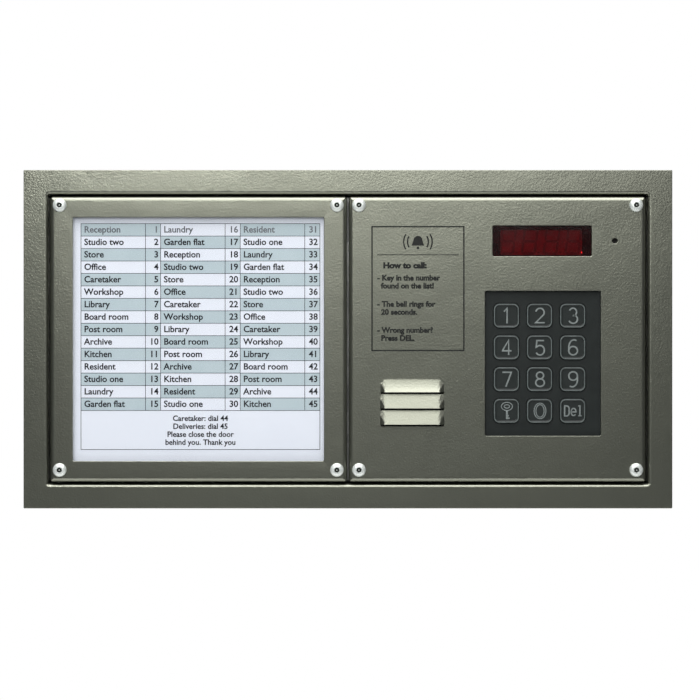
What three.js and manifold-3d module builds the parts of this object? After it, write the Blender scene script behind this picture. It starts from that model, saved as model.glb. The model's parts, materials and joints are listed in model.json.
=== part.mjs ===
// Door intercom panel for flush mounting in a wall: a folded steel back box with a trim frame, a name
// directory behind a clear pane on the left, and a call plate with display, keypad, microphone and
// louvred loudspeaker on the right.
//
// Each assembly is laid out on its back, x to the right, y up and z out towards the visitor, with z = 0 on
// the back box's rear face. The last group stands it up, so that the panel faces -Y with +Z up and its
// origin at the centre of the box's rear face. All sizes are in millimetres.
import * as THREE from "three";
import { ConvexGeometry } from "three/addons/geometries/ConvexGeometry.js";
import { mergeVertices } from "three/addons/utils/BufferGeometryUtils.js";
import Module from "manifold-3d";

// ---------------------------------------------------------------- driving dimensions

const SEAT = 0.1; // gap kept between two pieces that rest on each other
const SLIP = 0.3; // gap kept round a piece that passes through or moves in another
const PASS = 2; // how far a cutter runs past the face that it opens
const ROUND_STEPS = 16; // sides of a drilled hole or a turned pin
const CORNER_STEPS = 3; // sides of a rounded corner
const BEND_STEPS = 3; // sides of a folded edge

const SHEET = 1.5; // painted steel of the frame and the face plates
const BEND_RADIUS = 2.5; // outside radius of a folded edge

const PLATE = { width: 171, height: 164.4, depth: 10, corner: 1.5, proud: 1 };
const PLATE_GAP = 1.3; // round each face plate
const FLANGE_WIDTH = 14; // of the trim frame, from its outer edge to its opening
const FRAME = { corner: 0.6, openingCorner: 2.2, lipDepth: 12 };

const BOX = { depth: 45, wall: 1.2, corner: 2 };
const WALL_SLOT = { length: 12, width: 5, fromSide: 60, fromEnd: 24 };
const CABLE_HOLE = { diameter: 22, x: -90, y: 30 };
const GROMMET = { bore: 13, collar: 28, collarThickness: 2 };

const RAIL = { sheet: 1.5, sideOfScrew: 6.5, bossDiameter: 5.8, behindPlateEdge: 0.5, endGap: 1.5 };

const SCREW = { thread: 4, headDiameter: 7.9, headHeight: 2.2, length: 16 };
// From a plate's sides and ends to its screws, and how much higher than that both rows sit.
const SCREW_PLACE = { inset: 5.7, endInset: 6, lift: 0.95 };
const SOCKET = { acrossFlats: 2.5, depth: 1.3, pin: 1 };
const STUD = { thread: 3, nutAcrossFlats: 5.5, nutHeight: 2.4 };

const WINDOW = { marginSide: 13.2, marginEnd: 12, corner: 0.8, lap: 3 };
const PANE_THICKNESS = 1.5;
const PAPER = { thickness: 0.25, trim: 0.5 };
const GASKET = { thickness: 0.5, setBack: 1 };
const BACKING = { sheet: 1, studHeight: 36, studInset: 6, earHeight: 56, earInset: 2.2 };

const DISPLAY = { width: 57, height: 17.6, fromRight: 59.75, lap: 2.5, filter: 2 };
const DIGITS = { width: 50.3, height: 19, thickness: 8, behindFilter: 0.5 };
const DISPLAY_BOARD = { width: 72, height: 24, studSpacing: 66 };

const KEYPAD = { marginSide: 6.7, marginEnd: 7.15, fromRight: 22.05, lapSide: 4, lapEnd: 7 };
const KEYPAD_SEAL = 1; // foam between the plate and the key carrier
const CARRIER = { thickness: 2.5, studInsetX: 5.3, studInsetY: 3.4, corner: 1 };
const KEY = { width: 15, height: 14.2, corner: 3.5, pitchX: 19.1, pitchY: 18.3, shiftX: -1.8 };
// Of the height that the display and the keypad leave free, the shares above and between them.
const FREE_HEIGHT = { above: 0.322, between: 0.2365 };
const KEY_DEPTH = { proud: 0.3, lip: 1, lipReach: 0.8, travel: 0.8 };
const KEY_ROWS = [
  ["key_1", "key_2", "key_3"],
  ["key_4", "key_5", "key_6"],
  ["key_7", "key_8", "key_9"],
  ["key_entry", "key_0", "key_delete"],
];
// The rubber domes have the height that they collapse to under a pressed key.
const DOME = { baseDiameter: 9, topDiameter: 6, height: 1.3 };
const MAT_THICKNESS = 1;
const BOARD_THICKNESS = 1.6;

const LOUVRE = { count: 3, pitch: 9.3, width: 37, height: 7.9, reach: 2.4, wall: 1, slot: 0.7 };
const LOUVRE_SHAPE = { lipInset: 2.8, shoulderInset: 2.4, shoulderDrop: 2.8, gradient: 0.4 };
const SPEAKER = { fromLeft: 10.35, bracketFromBottom: 9.2, diameter: 52, rim: 3.5, flange: 1, depth: 10.5 };
const CLOTH_THICKNESS = 0.3;
const SPEAKER_SEAL = 1.5;
const MAGNET = { diameter: 30, thickness: 7 };
const CONE = { neck: 13, wall: 0.5, neckDepth: 7, travel: 0.4 };
const BRACKET = { sheet: 1.2, width: 12, legGap: 2, foot: 8 };

const MICROPHONE = { hole: 3, fromRight: 17.95, diameter: 9.7, length: 6 };
const BOOT = { diameter: 13, front: 1, length: 8 };

const MAIN_BOARD = { fromRail: 1.5, fromTop: 40, fromBottom: 12, behindPlate: 23, holeInset: 4, corner: 2 };
const STANDOFF = { acrossFlats: 5.5, bore: 3, stud: 6 };
const TERMINALS = { ways: 8, pitch: 5.08, depth: 10, height: 12, fromLeft: 30, fromBottom: 14 };
const TERMINAL_WELL = { diameter: 3.6, depth: 2, offCentre: 1 };
const TERMINAL_MOUTH = { width: 3.4, depth: 4, above: 2, below: 5 };
const RELAY = { width: 19, depth: 15.3, height: 15.5, corner: 0.8, fromRight: 40, fromBottom: 24 };
const RIBBON = { width: 22, thickness: 0.9, bow: 6, steps: 10 };

// ---------------------------------------------------------------- sizes that follow

const opening = {
  width: 2 * PLATE.width + 3 * PLATE_GAP,
  height: PLATE.height + 2 * PLATE_GAP,
};
const plateOffset = (PLATE.width + PLATE_GAP) / 2; // from the middle to each plate's centre
const wallPlane = BOX.depth; // the finished wall, and the flange's back
const flangeFront = wallPlane + SHEET;
const plateFront = flangeFront + PLATE.proud;
const plateBack = plateFront - SHEET;
const plateEdge = plateFront - PLATE.depth; // rear edge of a plate's folded sides
const railFront = plateEdge - RAIL.behindPlateEdge;
const screwX = PLATE.width / 2 - SCREW_PLACE.inset;
const screwY = PLATE.height / 2 - SCREW_PLACE.endInset;
const screwRows = [SCREW_PLACE.lift + screwY, SCREW_PLACE.lift - screwY];
const plateWindow = {
  width: PLATE.width - 2 * WINDOW.marginSide,
  height: PLATE.height - 2 * WINDOW.marginEnd,
};
const lapped = (lap) => ({
  width: plateWindow.width + 2 * lap,
  height: plateWindow.height + 2 * lap,
});

const plateRight = PLATE.width / 2;
const plateTop = PLATE.height / 2;
const keypadOpening = {
  width: 2 * KEY.pitchX + KEY.width + 2 * KEYPAD.marginSide,
  height: 3 * KEY.pitchY + KEY.height + 2 * KEYPAD.marginEnd,
};
const carrierSize = {
  width: keypadOpening.width + 2 * KEYPAD.lapSide,
  height: keypadOpening.height + 2 * KEYPAD.lapEnd,
};
const filterSize = { width: DISPLAY.width + 2 * DISPLAY.lap, height: DISPLAY.height + 2 * DISPLAY.lap };
const freeHeight = PLATE.height - filterSize.height - carrierSize.height;
const displayTop = plateTop - FREE_HEIGHT.above * freeHeight;
const carrierTop = displayTop - filterSize.height - FREE_HEIGHT.between * freeHeight;
const display = { x: plateRight - DISPLAY.fromRight, y: displayTop - filterSize.height / 2 };
const microphone = { x: plateRight - MICROPHONE.fromRight, y: display.y };
const keypad = {
  x: plateRight - KEYPAD.fromRight - carrierSize.width / 2,
  y: carrierTop - carrierSize.height / 2,
};
const bracketLeg = SPEAKER.diameter / 2 + BRACKET.legGap;
const bracketReach = bracketLeg + BRACKET.sheet + BRACKET.foot;
const speaker = {
  x: SPEAKER.fromLeft + SPEAKER.diameter / 2 - plateRight,
  y: SPEAKER.bracketFromBottom + bracketReach - plateTop,
};

const carrierFront = plateBack - KEYPAD_SEAL - 2 * SEAT;
const carrierBack = carrierFront - CARRIER.thickness;
const keyBack = carrierBack - SEAT - KEY_DEPTH.lip;
const domeTop = keyBack - KEY_DEPTH.travel - SEAT;
const matBack = domeTop - DOME.height - MAT_THICKNESS;
const keypadBoardBack = matBack - SEAT - BOARD_THICKNESS;
const filterBack = plateBack - SEAT - DISPLAY.filter;
const digitsBack = filterBack - DIGITS.behindFilter - DIGITS.thickness;
const displayBoardBack = digitsBack - SEAT - BOARD_THICKNESS;

const speakerFront = plateBack - SPEAKER_SEAL - 2 * SEAT;
const magnetFront = speakerFront - SPEAKER.depth - SEAT;
const magnetBack = magnetFront - MAGNET.thickness;
const mainBoardFront = plateBack - MAIN_BOARD.behindPlate;
const mainBoardBack = mainBoardFront - BOARD_THICKNESS;
const mainBoardEdge = plateRight - SCREW_PLACE.inset - RAIL.sideOfScrew - MAIN_BOARD.fromRail;
const mainBoard = {
  left: -mainBoardEdge,
  right: mainBoardEdge,
  top: plateTop - MAIN_BOARD.fromTop,
  bottom: MAIN_BOARD.fromBottom - plateTop,
};

// ---------------------------------------------------------------- materials

const finish = (color, roughness, metalness) => ({ color, roughness, metalness });
const FINISHES = {
  paint: finish(0x74776a, 0.45, 0.55),
  galvanised: finish(0x9a9d9b, 0.45, 0.85),
  zinc: finish(0xc4ccca, 0.3, 0.9),
  brass: finish(0xb08d4a, 0.35, 0.9),
  black_plastic: finish(0x25292a, 0.5, 0),
  black_rubber: finish(0x1b1c1c, 0.85, 0),
  grey_foam: finish(0x3a3a38, 0.95, 0),
  clear_pane: finish(0xe8eef0, 0.08, 0),
  paper: finish(0xe9ecf3, 0.9, 0),
  red_filter: finish(0x6a1218, 0.1, 0),
  circuit_board: finish(0x1f5a36, 0.5, 0),
  cone_paper: finish(0x2a2826, 0.9, 0),
  magnet: finish(0x3c3d3f, 0.5, 0.3),
  terminal_green: finish(0x2f7d4a, 0.5, 0),
  relay_blue: finish(0x2c5fa8, 0.4, 0),
  ribbon_grey: finish(0x8d9092, 0.6, 0),
};

// ---------------------------------------------------------------- geometry helpers

const wasm = await Module();
wasm.setup();

/** A three.js geometry as a manifold-3d solid. */
function solidOf(geometry) {
  const bare = geometry.clone();
  bare.deleteAttribute("normal");
  bare.deleteAttribute("uv");
  const merged = mergeVertices(bare, 1e-4);
  return new wasm.Manifold(
    new wasm.Mesh({
      numProp: 3,
      vertProperties: merged.attributes.position.array,
      triVerts: new Uint32Array(merged.index.array),
    }),
  );
}

/** A manifold-3d solid as a three.js geometry. */
function geometryOf(solid) {
  const mesh = solid.getMesh();
  const geometry = new THREE.BufferGeometry();
  geometry.setAttribute("position", new THREE.BufferAttribute(mesh.vertProperties, 3));
  geometry.setIndex(new THREE.BufferAttribute(mesh.triVerts, 1));
  geometry.computeVertexNormals();
  return geometry;
}

/** The first geometry with the others cut away. */
function cut(body, cutters) {
  return geometryOf(cutters.reduce((solid, cutter) => solid.subtract(solidOf(cutter)), solidOf(body)));
}

/** Several geometries joined into one. */
function join(bodies) {
  return geometryOf(bodies.map(solidOf).reduce((all, solid) => all.add(solid)));
}

/** A rectangle with rounded corners, centred on (x, y). */
function rectangle(width, height, radius = 0, x = 0, y = 0) {
  const right = x + width / 2;
  const left = x - width / 2;
  const top = y + height / 2;
  const bottom = y - height / 2;
  const shape = new THREE.Shape();
  if (radius === 0) {
    shape.moveTo(left, bottom).lineTo(right, bottom).lineTo(right, top).lineTo(left, top);
    return shape;
  }
  const quarter = Math.PI / 2;
  shape.absarc(right - radius, top - radius, radius, 0, quarter);
  shape.absarc(left + radius, top - radius, radius, quarter, 2 * quarter);
  shape.absarc(left + radius, bottom + radius, radius, 2 * quarter, 3 * quarter);
  shape.absarc(right - radius, bottom + radius, radius, 3 * quarter, 4 * quarter);
  return shape;
}

/** A regular polygon with a corner on +x, centred on (x, y). */
function polygon(sides, radius, x = 0, y = 0) {
  const corners = Array.from({ length: sides }, (_, i) => {
    const angle = (2 * Math.PI * i) / sides;
    return new THREE.Vector2(x + radius * Math.cos(angle), y + radius * Math.sin(angle));
  });
  return new THREE.Shape(corners);
}

/** A circle as a many-sided polygon. */
const circle = (diameter, x = 0, y = 0) => polygon(ROUND_STEPS, diameter / 2, x, y);

/** A hexagon measured across its flats. */
const hexagon = (acrossFlats, x = 0, y = 0) => polygon(6, acrossFlats / Math.sqrt(3), x, y);

/** A flat shape made solid between two depths, with holes through it. */
function slab(shape, back, front, holes = []) {
  const pierced = shape.clone();
  pierced.holes = holes;
  const geometry = new THREE.ExtrudeGeometry(pierced, {
    depth: front - back,
    bevelEnabled: false,
    curveSegments: CORNER_STEPS,
  });
  return geometry.translate(0, 0, back);
}

/** A profile drawn in [y, z] and run across a width in x, centred on (x, y). */
function acrossX(profile, width, x, y) {
  const geometry = new THREE.ExtrudeGeometry(profile, { depth: width, bevelEnabled: false });
  geometry.applyMatrix4(
    new THREE.Matrix4().makeBasis(
      new THREE.Vector3(0, 1, 0),
      new THREE.Vector3(0, 0, 1),
      new THREE.Vector3(1, 0, 0),
    ),
  );
  return geometry.translate(x - width / 2, y, 0);
}

/** A solid turned about z from [radius, z] pairs that start and end on the axis or close on themselves. */
function turned(profile, x = 0, y = 0, steps = ROUND_STEPS) {
  const points = profile.map(([radius, z]) => new THREE.Vector2(radius, z));
  const geometry = new THREE.LatheGeometry(points, steps);
  geometry.rotateX(Math.PI / 2);
  return geometry.translate(x, y, 0);
}

/** A closed solid through rounded rectangles { width, height, radius, z }, given from the back forwards. */
function loft(sections) {
  const positions = [];
  const sides = 4 * (CORNER_STEPS + 1);
  for (const { width, height, radius, z } of sections) {
    for (let i = 0; i < sides; i += 1) {
      const corner = Math.floor(i / (CORNER_STEPS + 1));
      const step = (i % (CORNER_STEPS + 1)) / CORNER_STEPS;
      const angle = (Math.PI / 2) * (corner + step);
      const xSide = corner === 0 || corner === 3 ? 1 : -1;
      const ySide = corner < 2 ? 1 : -1;
      positions.push(xSide * (width / 2 - radius) + radius * Math.cos(angle));
      positions.push(ySide * (height / 2 - radius) + radius * Math.sin(angle));
      positions.push(z);
    }
  }
  const index = [];
  const last = (sections.length - 1) * sides;
  for (let i = 0; i < sides; i += 1) {
    const next = (i + 1) % sides;
    for (let ring = 0; ring < last; ring += sides) {
      index.push(ring + i, ring + next, ring + sides + next);
      index.push(ring + i, ring + sides + next, ring + sides + i);
    }
    if (i > 1) {
      index.push(0, i, i - 1);
      index.push(last, last + i - 1, last + i);
    }
  }
  const geometry = new THREE.BufferGeometry();
  geometry.setAttribute("position", new THREE.Float32BufferAttribute(positions, 3));
  geometry.setIndex(index);
  return geometry;
}

const SHARP = 0.2; // the least radius of a corner that runs to a point

/** A block whose front edges are folded over at a radius. */
function foldedBlock(width, height, corner, edgeRadius, back, front) {
  const sections = [{ width, height, radius: Math.max(corner, SHARP), z: back }];
  for (let i = 0; i <= BEND_STEPS; i += 1) {
    const angle = ((Math.PI / 2) * i) / BEND_STEPS;
    const inset = edgeRadius * (1 - Math.cos(angle));
    sections.push({
      width: width - 2 * inset,
      height: height - 2 * inset,
      radius: Math.max(corner - inset, SHARP),
      z: front - edgeRadius * (1 - Math.sin(angle)),
    });
  }
  return loft(sections);
}

/** The cutter of an opening whose front edge turns in at a radius. */
function flaredOpening(width, height, corner, edgeRadius, back, front) {
  const sections = [{ width, height, radius: corner, z: back }];
  for (let i = 0; i <= BEND_STEPS; i += 1) {
    const angle = ((Math.PI / 2) * i) / BEND_STEPS;
    const flare = edgeRadius * (1 - Math.cos(angle));
    sections.push({
      width: width + 2 * flare,
      height: height + 2 * flare,
      radius: corner + flare,
      z: front - edgeRadius * (1 - Math.sin(angle)),
    });
  }
  const mouth = sections.at(-1);
  sections.push({ ...mouth, z: front + PASS });
  return loft(sections);
}

/** A named mesh in one of the finishes. */
function piece(name, geometry, finishName) {
  const mesh = new THREE.Mesh(geometry, new THREE.MeshStandardMaterial(FINISHES[finishName]));
  mesh.name = name;
  return mesh;
}

/** The four points (±x, ±y), clockwise from the top left. */
const fourCorners = (x, y) => [[-x, y], [x, y], [x, -y], [-x, -y]];

// ---------------------------------------------------------------- housing: frame, box, rails, grommet

/** A flat flange on the wall with its opening's edges folded back into the box. */
function trimFrame() {
  const flange = slab(
    rectangle(opening.width + 2 * FLANGE_WIDTH, opening.height + 2 * FLANGE_WIDTH, FRAME.corner),
    wallPlane,
    flangeFront,
  );
  const lip = slab(
    rectangle(opening.width + 2 * SHEET, opening.height + 2 * SHEET, FRAME.openingCorner + SHEET),
    flangeFront - FRAME.lipDepth,
    flangeFront - SHEET / 2,
  );
  const mouth = flaredOpening(
    opening.width,
    opening.height,
    FRAME.openingCorner,
    BEND_RADIUS,
    flangeFront - FRAME.lipDepth - PASS,
    flangeFront,
  );
  return cut(join([flange, lip]), [mouth]);
}

/** The open-fronted steel box that is set in the wall, with anchor slots and a cable hole. */
function backBox() {
  const inside = {
    width: opening.width + 2 * (SHEET + SLIP),
    height: opening.height + 2 * (SHEET + SLIP),
  };
  const front = wallPlane - SEAT;
  const outer = slab(
    rectangle(inside.width + 2 * BOX.wall, inside.height + 2 * BOX.wall, BOX.corner + BOX.wall),
    0,
    front,
  );
  const hollow = slab(rectangle(inside.width, inside.height, BOX.corner), BOX.wall, front + PASS);
  const cableHole = slab(circle(CABLE_HOLE.diameter, CABLE_HOLE.x, CABLE_HOLE.y), -PASS, PASS + BOX.wall);
  const slotX = opening.width / 2 - WALL_SLOT.fromSide;
  const slotY = opening.height / 2 - WALL_SLOT.fromEnd;
  const slotEnd = WALL_SLOT.width / 2 - SEAT;
  const slots = fourCorners(slotX, slotY).map(([x, y]) =>
    slab(rectangle(WALL_SLOT.length, WALL_SLOT.width, slotEnd, x, y), -PASS, PASS + BOX.wall),
  );
  return cut(outer, [hollow, cableHole, ...slots]);
}

/** A channel on the box's rear wall, with a threaded boss for each screw in both rows. */
function rail(screwColumns) {
  const left = Math.min(...screwColumns) - RAIL.sideOfScrew;
  const right = Math.max(...screwColumns) + RAIL.sideOfScrew;
  const width = right - left;
  const centre = (left + right) / 2;
  const height = opening.height - 2 * RAIL.endGap;
  const back = BOX.wall + SEAT;
  const body = slab(rectangle(width, height, 0, centre), back, railFront);
  const channel = slab(
    rectangle(width - 2 * RAIL.sheet, height + 2 * PASS, 0, centre),
    back - PASS,
    railFront - RAIL.sheet,
  );
  const screws = screwColumns.flatMap((x) => screwRows.map((y) => [x, y]));
  const bosses = screws.map(([x, y]) =>
    slab(circle(RAIL.bossDiameter, x, y), railFront - RAIL.sheet / 2, plateBack - SEAT),
  );
  const threads = screws.map(([x, y]) =>
    slab(circle(SCREW.thread + SLIP, x, y), railFront - RAIL.sheet - PASS, plateBack + PASS),
  );
  return cut(join([cut(body, [channel]), ...bosses]), threads);
}

/** A rubber ring with a groove that the box's rear wall sits in. */
function cableGrommet() {
  const bore = GROMMET.bore / 2;
  const neck = CABLE_HOLE.diameter / 2 - SEAT;
  const collar = GROMMET.collar / 2;
  const rear = 0 - SEAT;
  const front = BOX.wall + SEAT;
  return turned(
    [
      [bore, rear - GROMMET.collarThickness / 2],
      [neck + GROMMET.collarThickness / 2, rear - GROMMET.collarThickness / 2],
      [collar, rear],
      [neck, rear],
      [neck, front],
      [collar, front],
      [collar, front + GROMMET.collarThickness],
      [bore, front + GROMMET.collarThickness],
      [bore, rear - GROMMET.collarThickness / 2],
    ],
    CABLE_HOLE.x,
    CABLE_HOLE.y,
  );
}

function housing() {
  const group = new THREE.Group();
  const leftColumn = -plateOffset - screwX;
  const innerColumn = plateOffset - screwX;
  group.add(piece("trim_frame", trimFrame(), "paint"));
  group.add(piece("back_box", backBox(), "galvanised"));
  group.add(piece("left_rail", rail([leftColumn]), "galvanised"));
  group.add(piece("centre_rail", rail([-innerColumn, innerColumn]), "galvanised"));
  group.add(piece("right_rail", rail([-leftColumn]), "galvanised"));
  group.add(piece("cable_grommet", cableGrommet(), "black_rubber"));
  return group;
}

// ---------------------------------------------------------------- fasteners

/** A plate's screws, from the top left one clockwise. */
const screwPlaces = fourCorners(screwX, screwY).map(([x, y]) => [x, y + SCREW_PLACE.lift]);

/** A domed button-head screw, its axis on z, with a hexagon socket that has a security pin in it. */
function faceScrew() {
  const under = plateFront + SEAT;
  const top = under + SCREW.headHeight;
  const head = SCREW.headDiameter / 2;
  const shank = SCREW.thread / 2;
  const body = turned([
    [0, plateFront - SCREW.length],
    [shank - SLIP, plateFront - SCREW.length],
    [shank, plateFront - SCREW.length + SLIP],
    [shank, under],
    [head, under],
    [head, under + 0.25 * SCREW.headHeight],
    [0.82 * head, under + 0.75 * SCREW.headHeight],
    [0.48 * head, top],
    [0, top],
  ]);
  const socket = slab(hexagon(SOCKET.acrossFlats), top - SOCKET.depth, top + PASS, [circle(SOCKET.pin)]);
  return cut(body, [socket]);
}

/** Four face screws at a plate's corners, numbered clockwise from the top left. */
function addFaceScrews(group, prefix) {
  const geometry = faceScrew();
  screwPlaces.forEach(([x, y], i) => {
    const screw = piece(`${prefix}_screw_${i + 1}`, geometry, "zinc");
    screw.position.set(x, y, 0);
    group.add(screw);
  });
}

/** Threaded studs welded to the back of a plate. */
const studs = (places, tip) =>
  places.map(([x, y]) => slab(circle(STUD.thread, x, y), tip, plateBack + SHEET / 2));

/** Holes of one diameter at several places. */
const holesAt = (places, diameter) => places.map(([x, y]) => circle(diameter, x, y));

/** Holes through which the studs at these places pass. */
const studHoles = (places) => holesAt(places, STUD.thread + 2 * SLIP);

/** A sheet-steel tray: a face with all four sides folded back. */
function facePlate(cutters, additions = []) {
  const outer = foldedBlock(PLATE.width, PLATE.height, PLATE.corner, BEND_RADIUS, plateEdge, plateFront);
  const inner = foldedBlock(
    PLATE.width - 2 * SHEET,
    PLATE.height - 2 * SHEET,
    0,
    BEND_RADIUS - SHEET,
    plateEdge - PASS,
    plateBack,
  );
  const screwHoles = screwPlaces.map(([x, y]) =>
    slab(circle(SCREW.thread + 2 * SLIP, x, y), plateBack - PASS, plateFront + PASS),
  );
  return cut(join([cut(outer, [inner]), ...additions]), [...screwHoles, ...cutters]);
}

// ---------------------------------------------------------------- directory module

const backingFront = plateBack - GASKET.thickness - PANE_THICKNESS - PAPER.thickness - 4 * SEAT;
const backingBack = backingFront - BACKING.sheet;
const backingStuds = fourCorners(PLATE.width / 2 - BACKING.studInset, BACKING.studHeight);

function directoryPlate() {
  const windowCut = slab(
    rectangle(plateWindow.width, plateWindow.height, WINDOW.corner),
    plateBack - PASS,
    plateFront + PASS,
  );
  return facePlate([windowCut], studs(backingStuds, backingBack - STUD.nutHeight - 2 * SEAT));
}

/** A sheet that clamps the pane and the name sheet, with an ear on each side for the studs. */
function backingPlate() {
  const { width, height } = lapped(WINDOW.lap);
  const earWidth = PLATE.width - 2 * BACKING.earInset - 2 * SHEET;
  const halfWidth = width / 2;
  const halfHeight = height / 2;
  const halfEar = BACKING.earHeight;
  const shape = new THREE.Shape();
  shape.moveTo(-halfWidth, -halfHeight).lineTo(halfWidth, -halfHeight);
  shape.lineTo(halfWidth, -halfEar).lineTo(earWidth / 2, -halfEar);
  shape.lineTo(earWidth / 2, halfEar).lineTo(halfWidth, halfEar);
  shape.lineTo(halfWidth, halfHeight).lineTo(-halfWidth, halfHeight);
  shape.lineTo(-halfWidth, halfEar).lineTo(-earWidth / 2, halfEar);
  shape.lineTo(-earWidth / 2, -halfEar).lineTo(-halfWidth, -halfEar);
  return slab(shape, backingBack, backingFront, studHoles(backingStuds));
}

function directoryModule() {
  const group = new THREE.Group();
  group.position.x = -plateOffset;

  const gasketSize = lapped(WINDOW.lap);
  const gasketHole = lapped(GASKET.setBack);
  const gasketFront = plateBack - SEAT;
  const gasketBack = gasketFront - GASKET.thickness;
  const gasket = slab(
    rectangle(gasketSize.width, gasketSize.height),
    gasketBack,
    gasketFront,
    [rectangle(gasketHole.width, gasketHole.height)],
  );

  const paneFront = gasketBack - SEAT;
  const paneBack = paneFront - PANE_THICKNESS;
  const pane = slab(rectangle(gasketSize.width, gasketSize.height, WINDOW.corner), paneBack, paneFront);

  const paperSize = lapped(WINDOW.lap - PAPER.trim);
  const paperFront = paneBack - SEAT;
  const paper = slab(
    rectangle(paperSize.width, paperSize.height),
    paperFront - PAPER.thickness,
    paperFront,
  );

  group.add(piece("directory_plate", directoryPlate(), "paint"));
  group.add(piece("directory_gasket", gasket, "black_rubber"));
  group.add(piece("directory_window", pane, "clear_pane"));
  group.add(piece("name_sheet", paper, "paper"));
  group.add(piece("backing_plate", backingPlate(), "galvanised"));

  const nutFront = backingBack - SEAT;
  const nut = slab(hexagon(STUD.nutAcrossFlats), nutFront - STUD.nutHeight, nutFront, [
    circle(STUD.thread + SLIP),
  ]);
  backingStuds.forEach(([x, y], i) => {
    const mesh = piece(`backing_nut_${i + 1}`, nut, "zinc");
    mesh.position.set(x, y, 0);
    group.add(mesh);
  });

  addFaceScrews(group, "directory");
  return group;
}

// ---------------------------------------------------------------- call module

const displayStuds = [-1, 1].map((side) => [
  display.x + (side * DISPLAY_BOARD.studSpacing) / 2,
  display.y,
]);
const keypadStuds = fourCorners(
  carrierSize.width / 2 - CARRIER.studInsetX,
  carrierSize.height / 2 - CARRIER.studInsetY,
).map(([x, y]) => [keypad.x + x, keypad.y + y]);
const bracketStuds = [-1, 1].map((side) => [
  speaker.x,
  speaker.y + side * (bracketLeg + BRACKET.sheet + BRACKET.foot / 2),
]);
const standoffs = [
  [mainBoard.left + MAIN_BOARD.holeInset, mainBoard.top - MAIN_BOARD.holeInset],
  [mainBoard.right - MAIN_BOARD.holeInset, mainBoard.top - MAIN_BOARD.holeInset],
  [mainBoard.right - MAIN_BOARD.holeInset, mainBoard.bottom + MAIN_BOARD.holeInset],
  [mainBoard.left + MAIN_BOARD.holeInset, mainBoard.bottom + MAIN_BOARD.holeInset],
];

/** The y of each louvre's lower lip, from the top one down. */
const louvreLips = Array.from(
  { length: LOUVRE.count },
  (_, i) => speaker.y + ((LOUVRE.count - 1) / 2 - i) * LOUVRE.pitch - LOUVRE.height / 2,
);

/** The awning shape of a pressed louvre whose lower lip is at y, shrunk by an inset on its closed sides. */
function louvreHood(y, reach, inset, base, drop) {
  const wide = LOUVRE.width / 2 - inset;
  const shoulder = wide - LOUVRE_SHAPE.shoulderInset;
  const lip = wide - LOUVRE_SHAPE.lipInset;
  const top = y + LOUVRE.height - inset;
  const points = [-1, 1].flatMap((side) => [
    new THREE.Vector3(speaker.x + side * shoulder, top, plateFront - inset),
    new THREE.Vector3(speaker.x + side * wide, top - LOUVRE_SHAPE.shoulderDrop, plateFront - inset),
    new THREE.Vector3(speaker.x + side * wide, y - drop, plateFront - inset),
    new THREE.Vector3(speaker.x + side * lip, y - drop, plateFront + reach),
    new THREE.Vector3(speaker.x + side * lip, y + LOUVRE_SHAPE.gradient, plateFront + reach),
    new THREE.Vector3(speaker.x + side * shoulder, top, base),
    new THREE.Vector3(speaker.x + side * wide, top - LOUVRE_SHAPE.shoulderDrop, base),
    new THREE.Vector3(speaker.x + side * wide, y - drop, base),
  ]);
  return new ConvexGeometry(points);
}

function callPlate() {
  const through = [plateBack - PASS, plateFront + PASS];
  const openings = [
    slab(rectangle(DISPLAY.width, DISPLAY.height, WINDOW.corner, display.x, display.y), ...through),
    slab(
      rectangle(keypadOpening.width, keypadOpening.height, WINDOW.corner, keypad.x, keypad.y),
      ...through,
    ),
    slab(circle(MICROPHONE.hole, microphone.x, microphone.y), ...through),
  ];
  const hoods = louvreLips.map((y) => louvreHood(y, LOUVRE.reach, 0, plateBack + SHEET / 2, 0));
  const hollows = louvreLips.map((y) =>
    louvreHood(y, LOUVRE.reach - LOUVRE.wall, LOUVRE.wall, plateBack - PASS, LOUVRE.slot),
  );
  const posts = [
    ...studs(displayStuds, displayBoardBack - STUD.nutHeight),
    ...studs(keypadStuds, keypadBoardBack - STUD.nutHeight),
    ...studs(bracketStuds, speakerFront - BRACKET.sheet - STUD.nutHeight - SEAT),
    ...studs(standoffs, plateBack - STANDOFF.stud),
  ];
  return facePlate([...openings, ...hollows], [...hoods, ...posts]);
}

function addDisplay(group) {
  const filter = slab(
    rectangle(filterSize.width, filterSize.height, 0, display.x, display.y),
    filterBack,
    plateBack - SEAT,
  );
  const digits = slab(
    rectangle(DIGITS.width, DIGITS.height, 0, display.x, display.y),
    digitsBack,
    digitsBack + DIGITS.thickness,
  );
  const board = slab(
    rectangle(DISPLAY_BOARD.width, DISPLAY_BOARD.height, CARRIER.corner, display.x, display.y),
    displayBoardBack,
    displayBoardBack + BOARD_THICKNESS,
    studHoles(displayStuds),
  );
  group.add(piece("display_filter", filter, "red_filter"));
  group.add(piece("display_digits", digits, "black_plastic"));
  group.add(piece("display_board", board, "circuit_board"));
}

/** The centre of each key, by row and column. */
function keyCentre(row, column) {
  const x = keypad.x + KEY.shiftX + (column - 1) * KEY.pitchX;
  const y = keypad.y + (1.5 - row) * KEY.pitchY;
  return [x, y];
}

const keyPlaces = KEY_ROWS.flatMap((names, row) =>
  names.map((name, column) => ({ name, centre: keyCentre(row, column) })),
);

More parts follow.
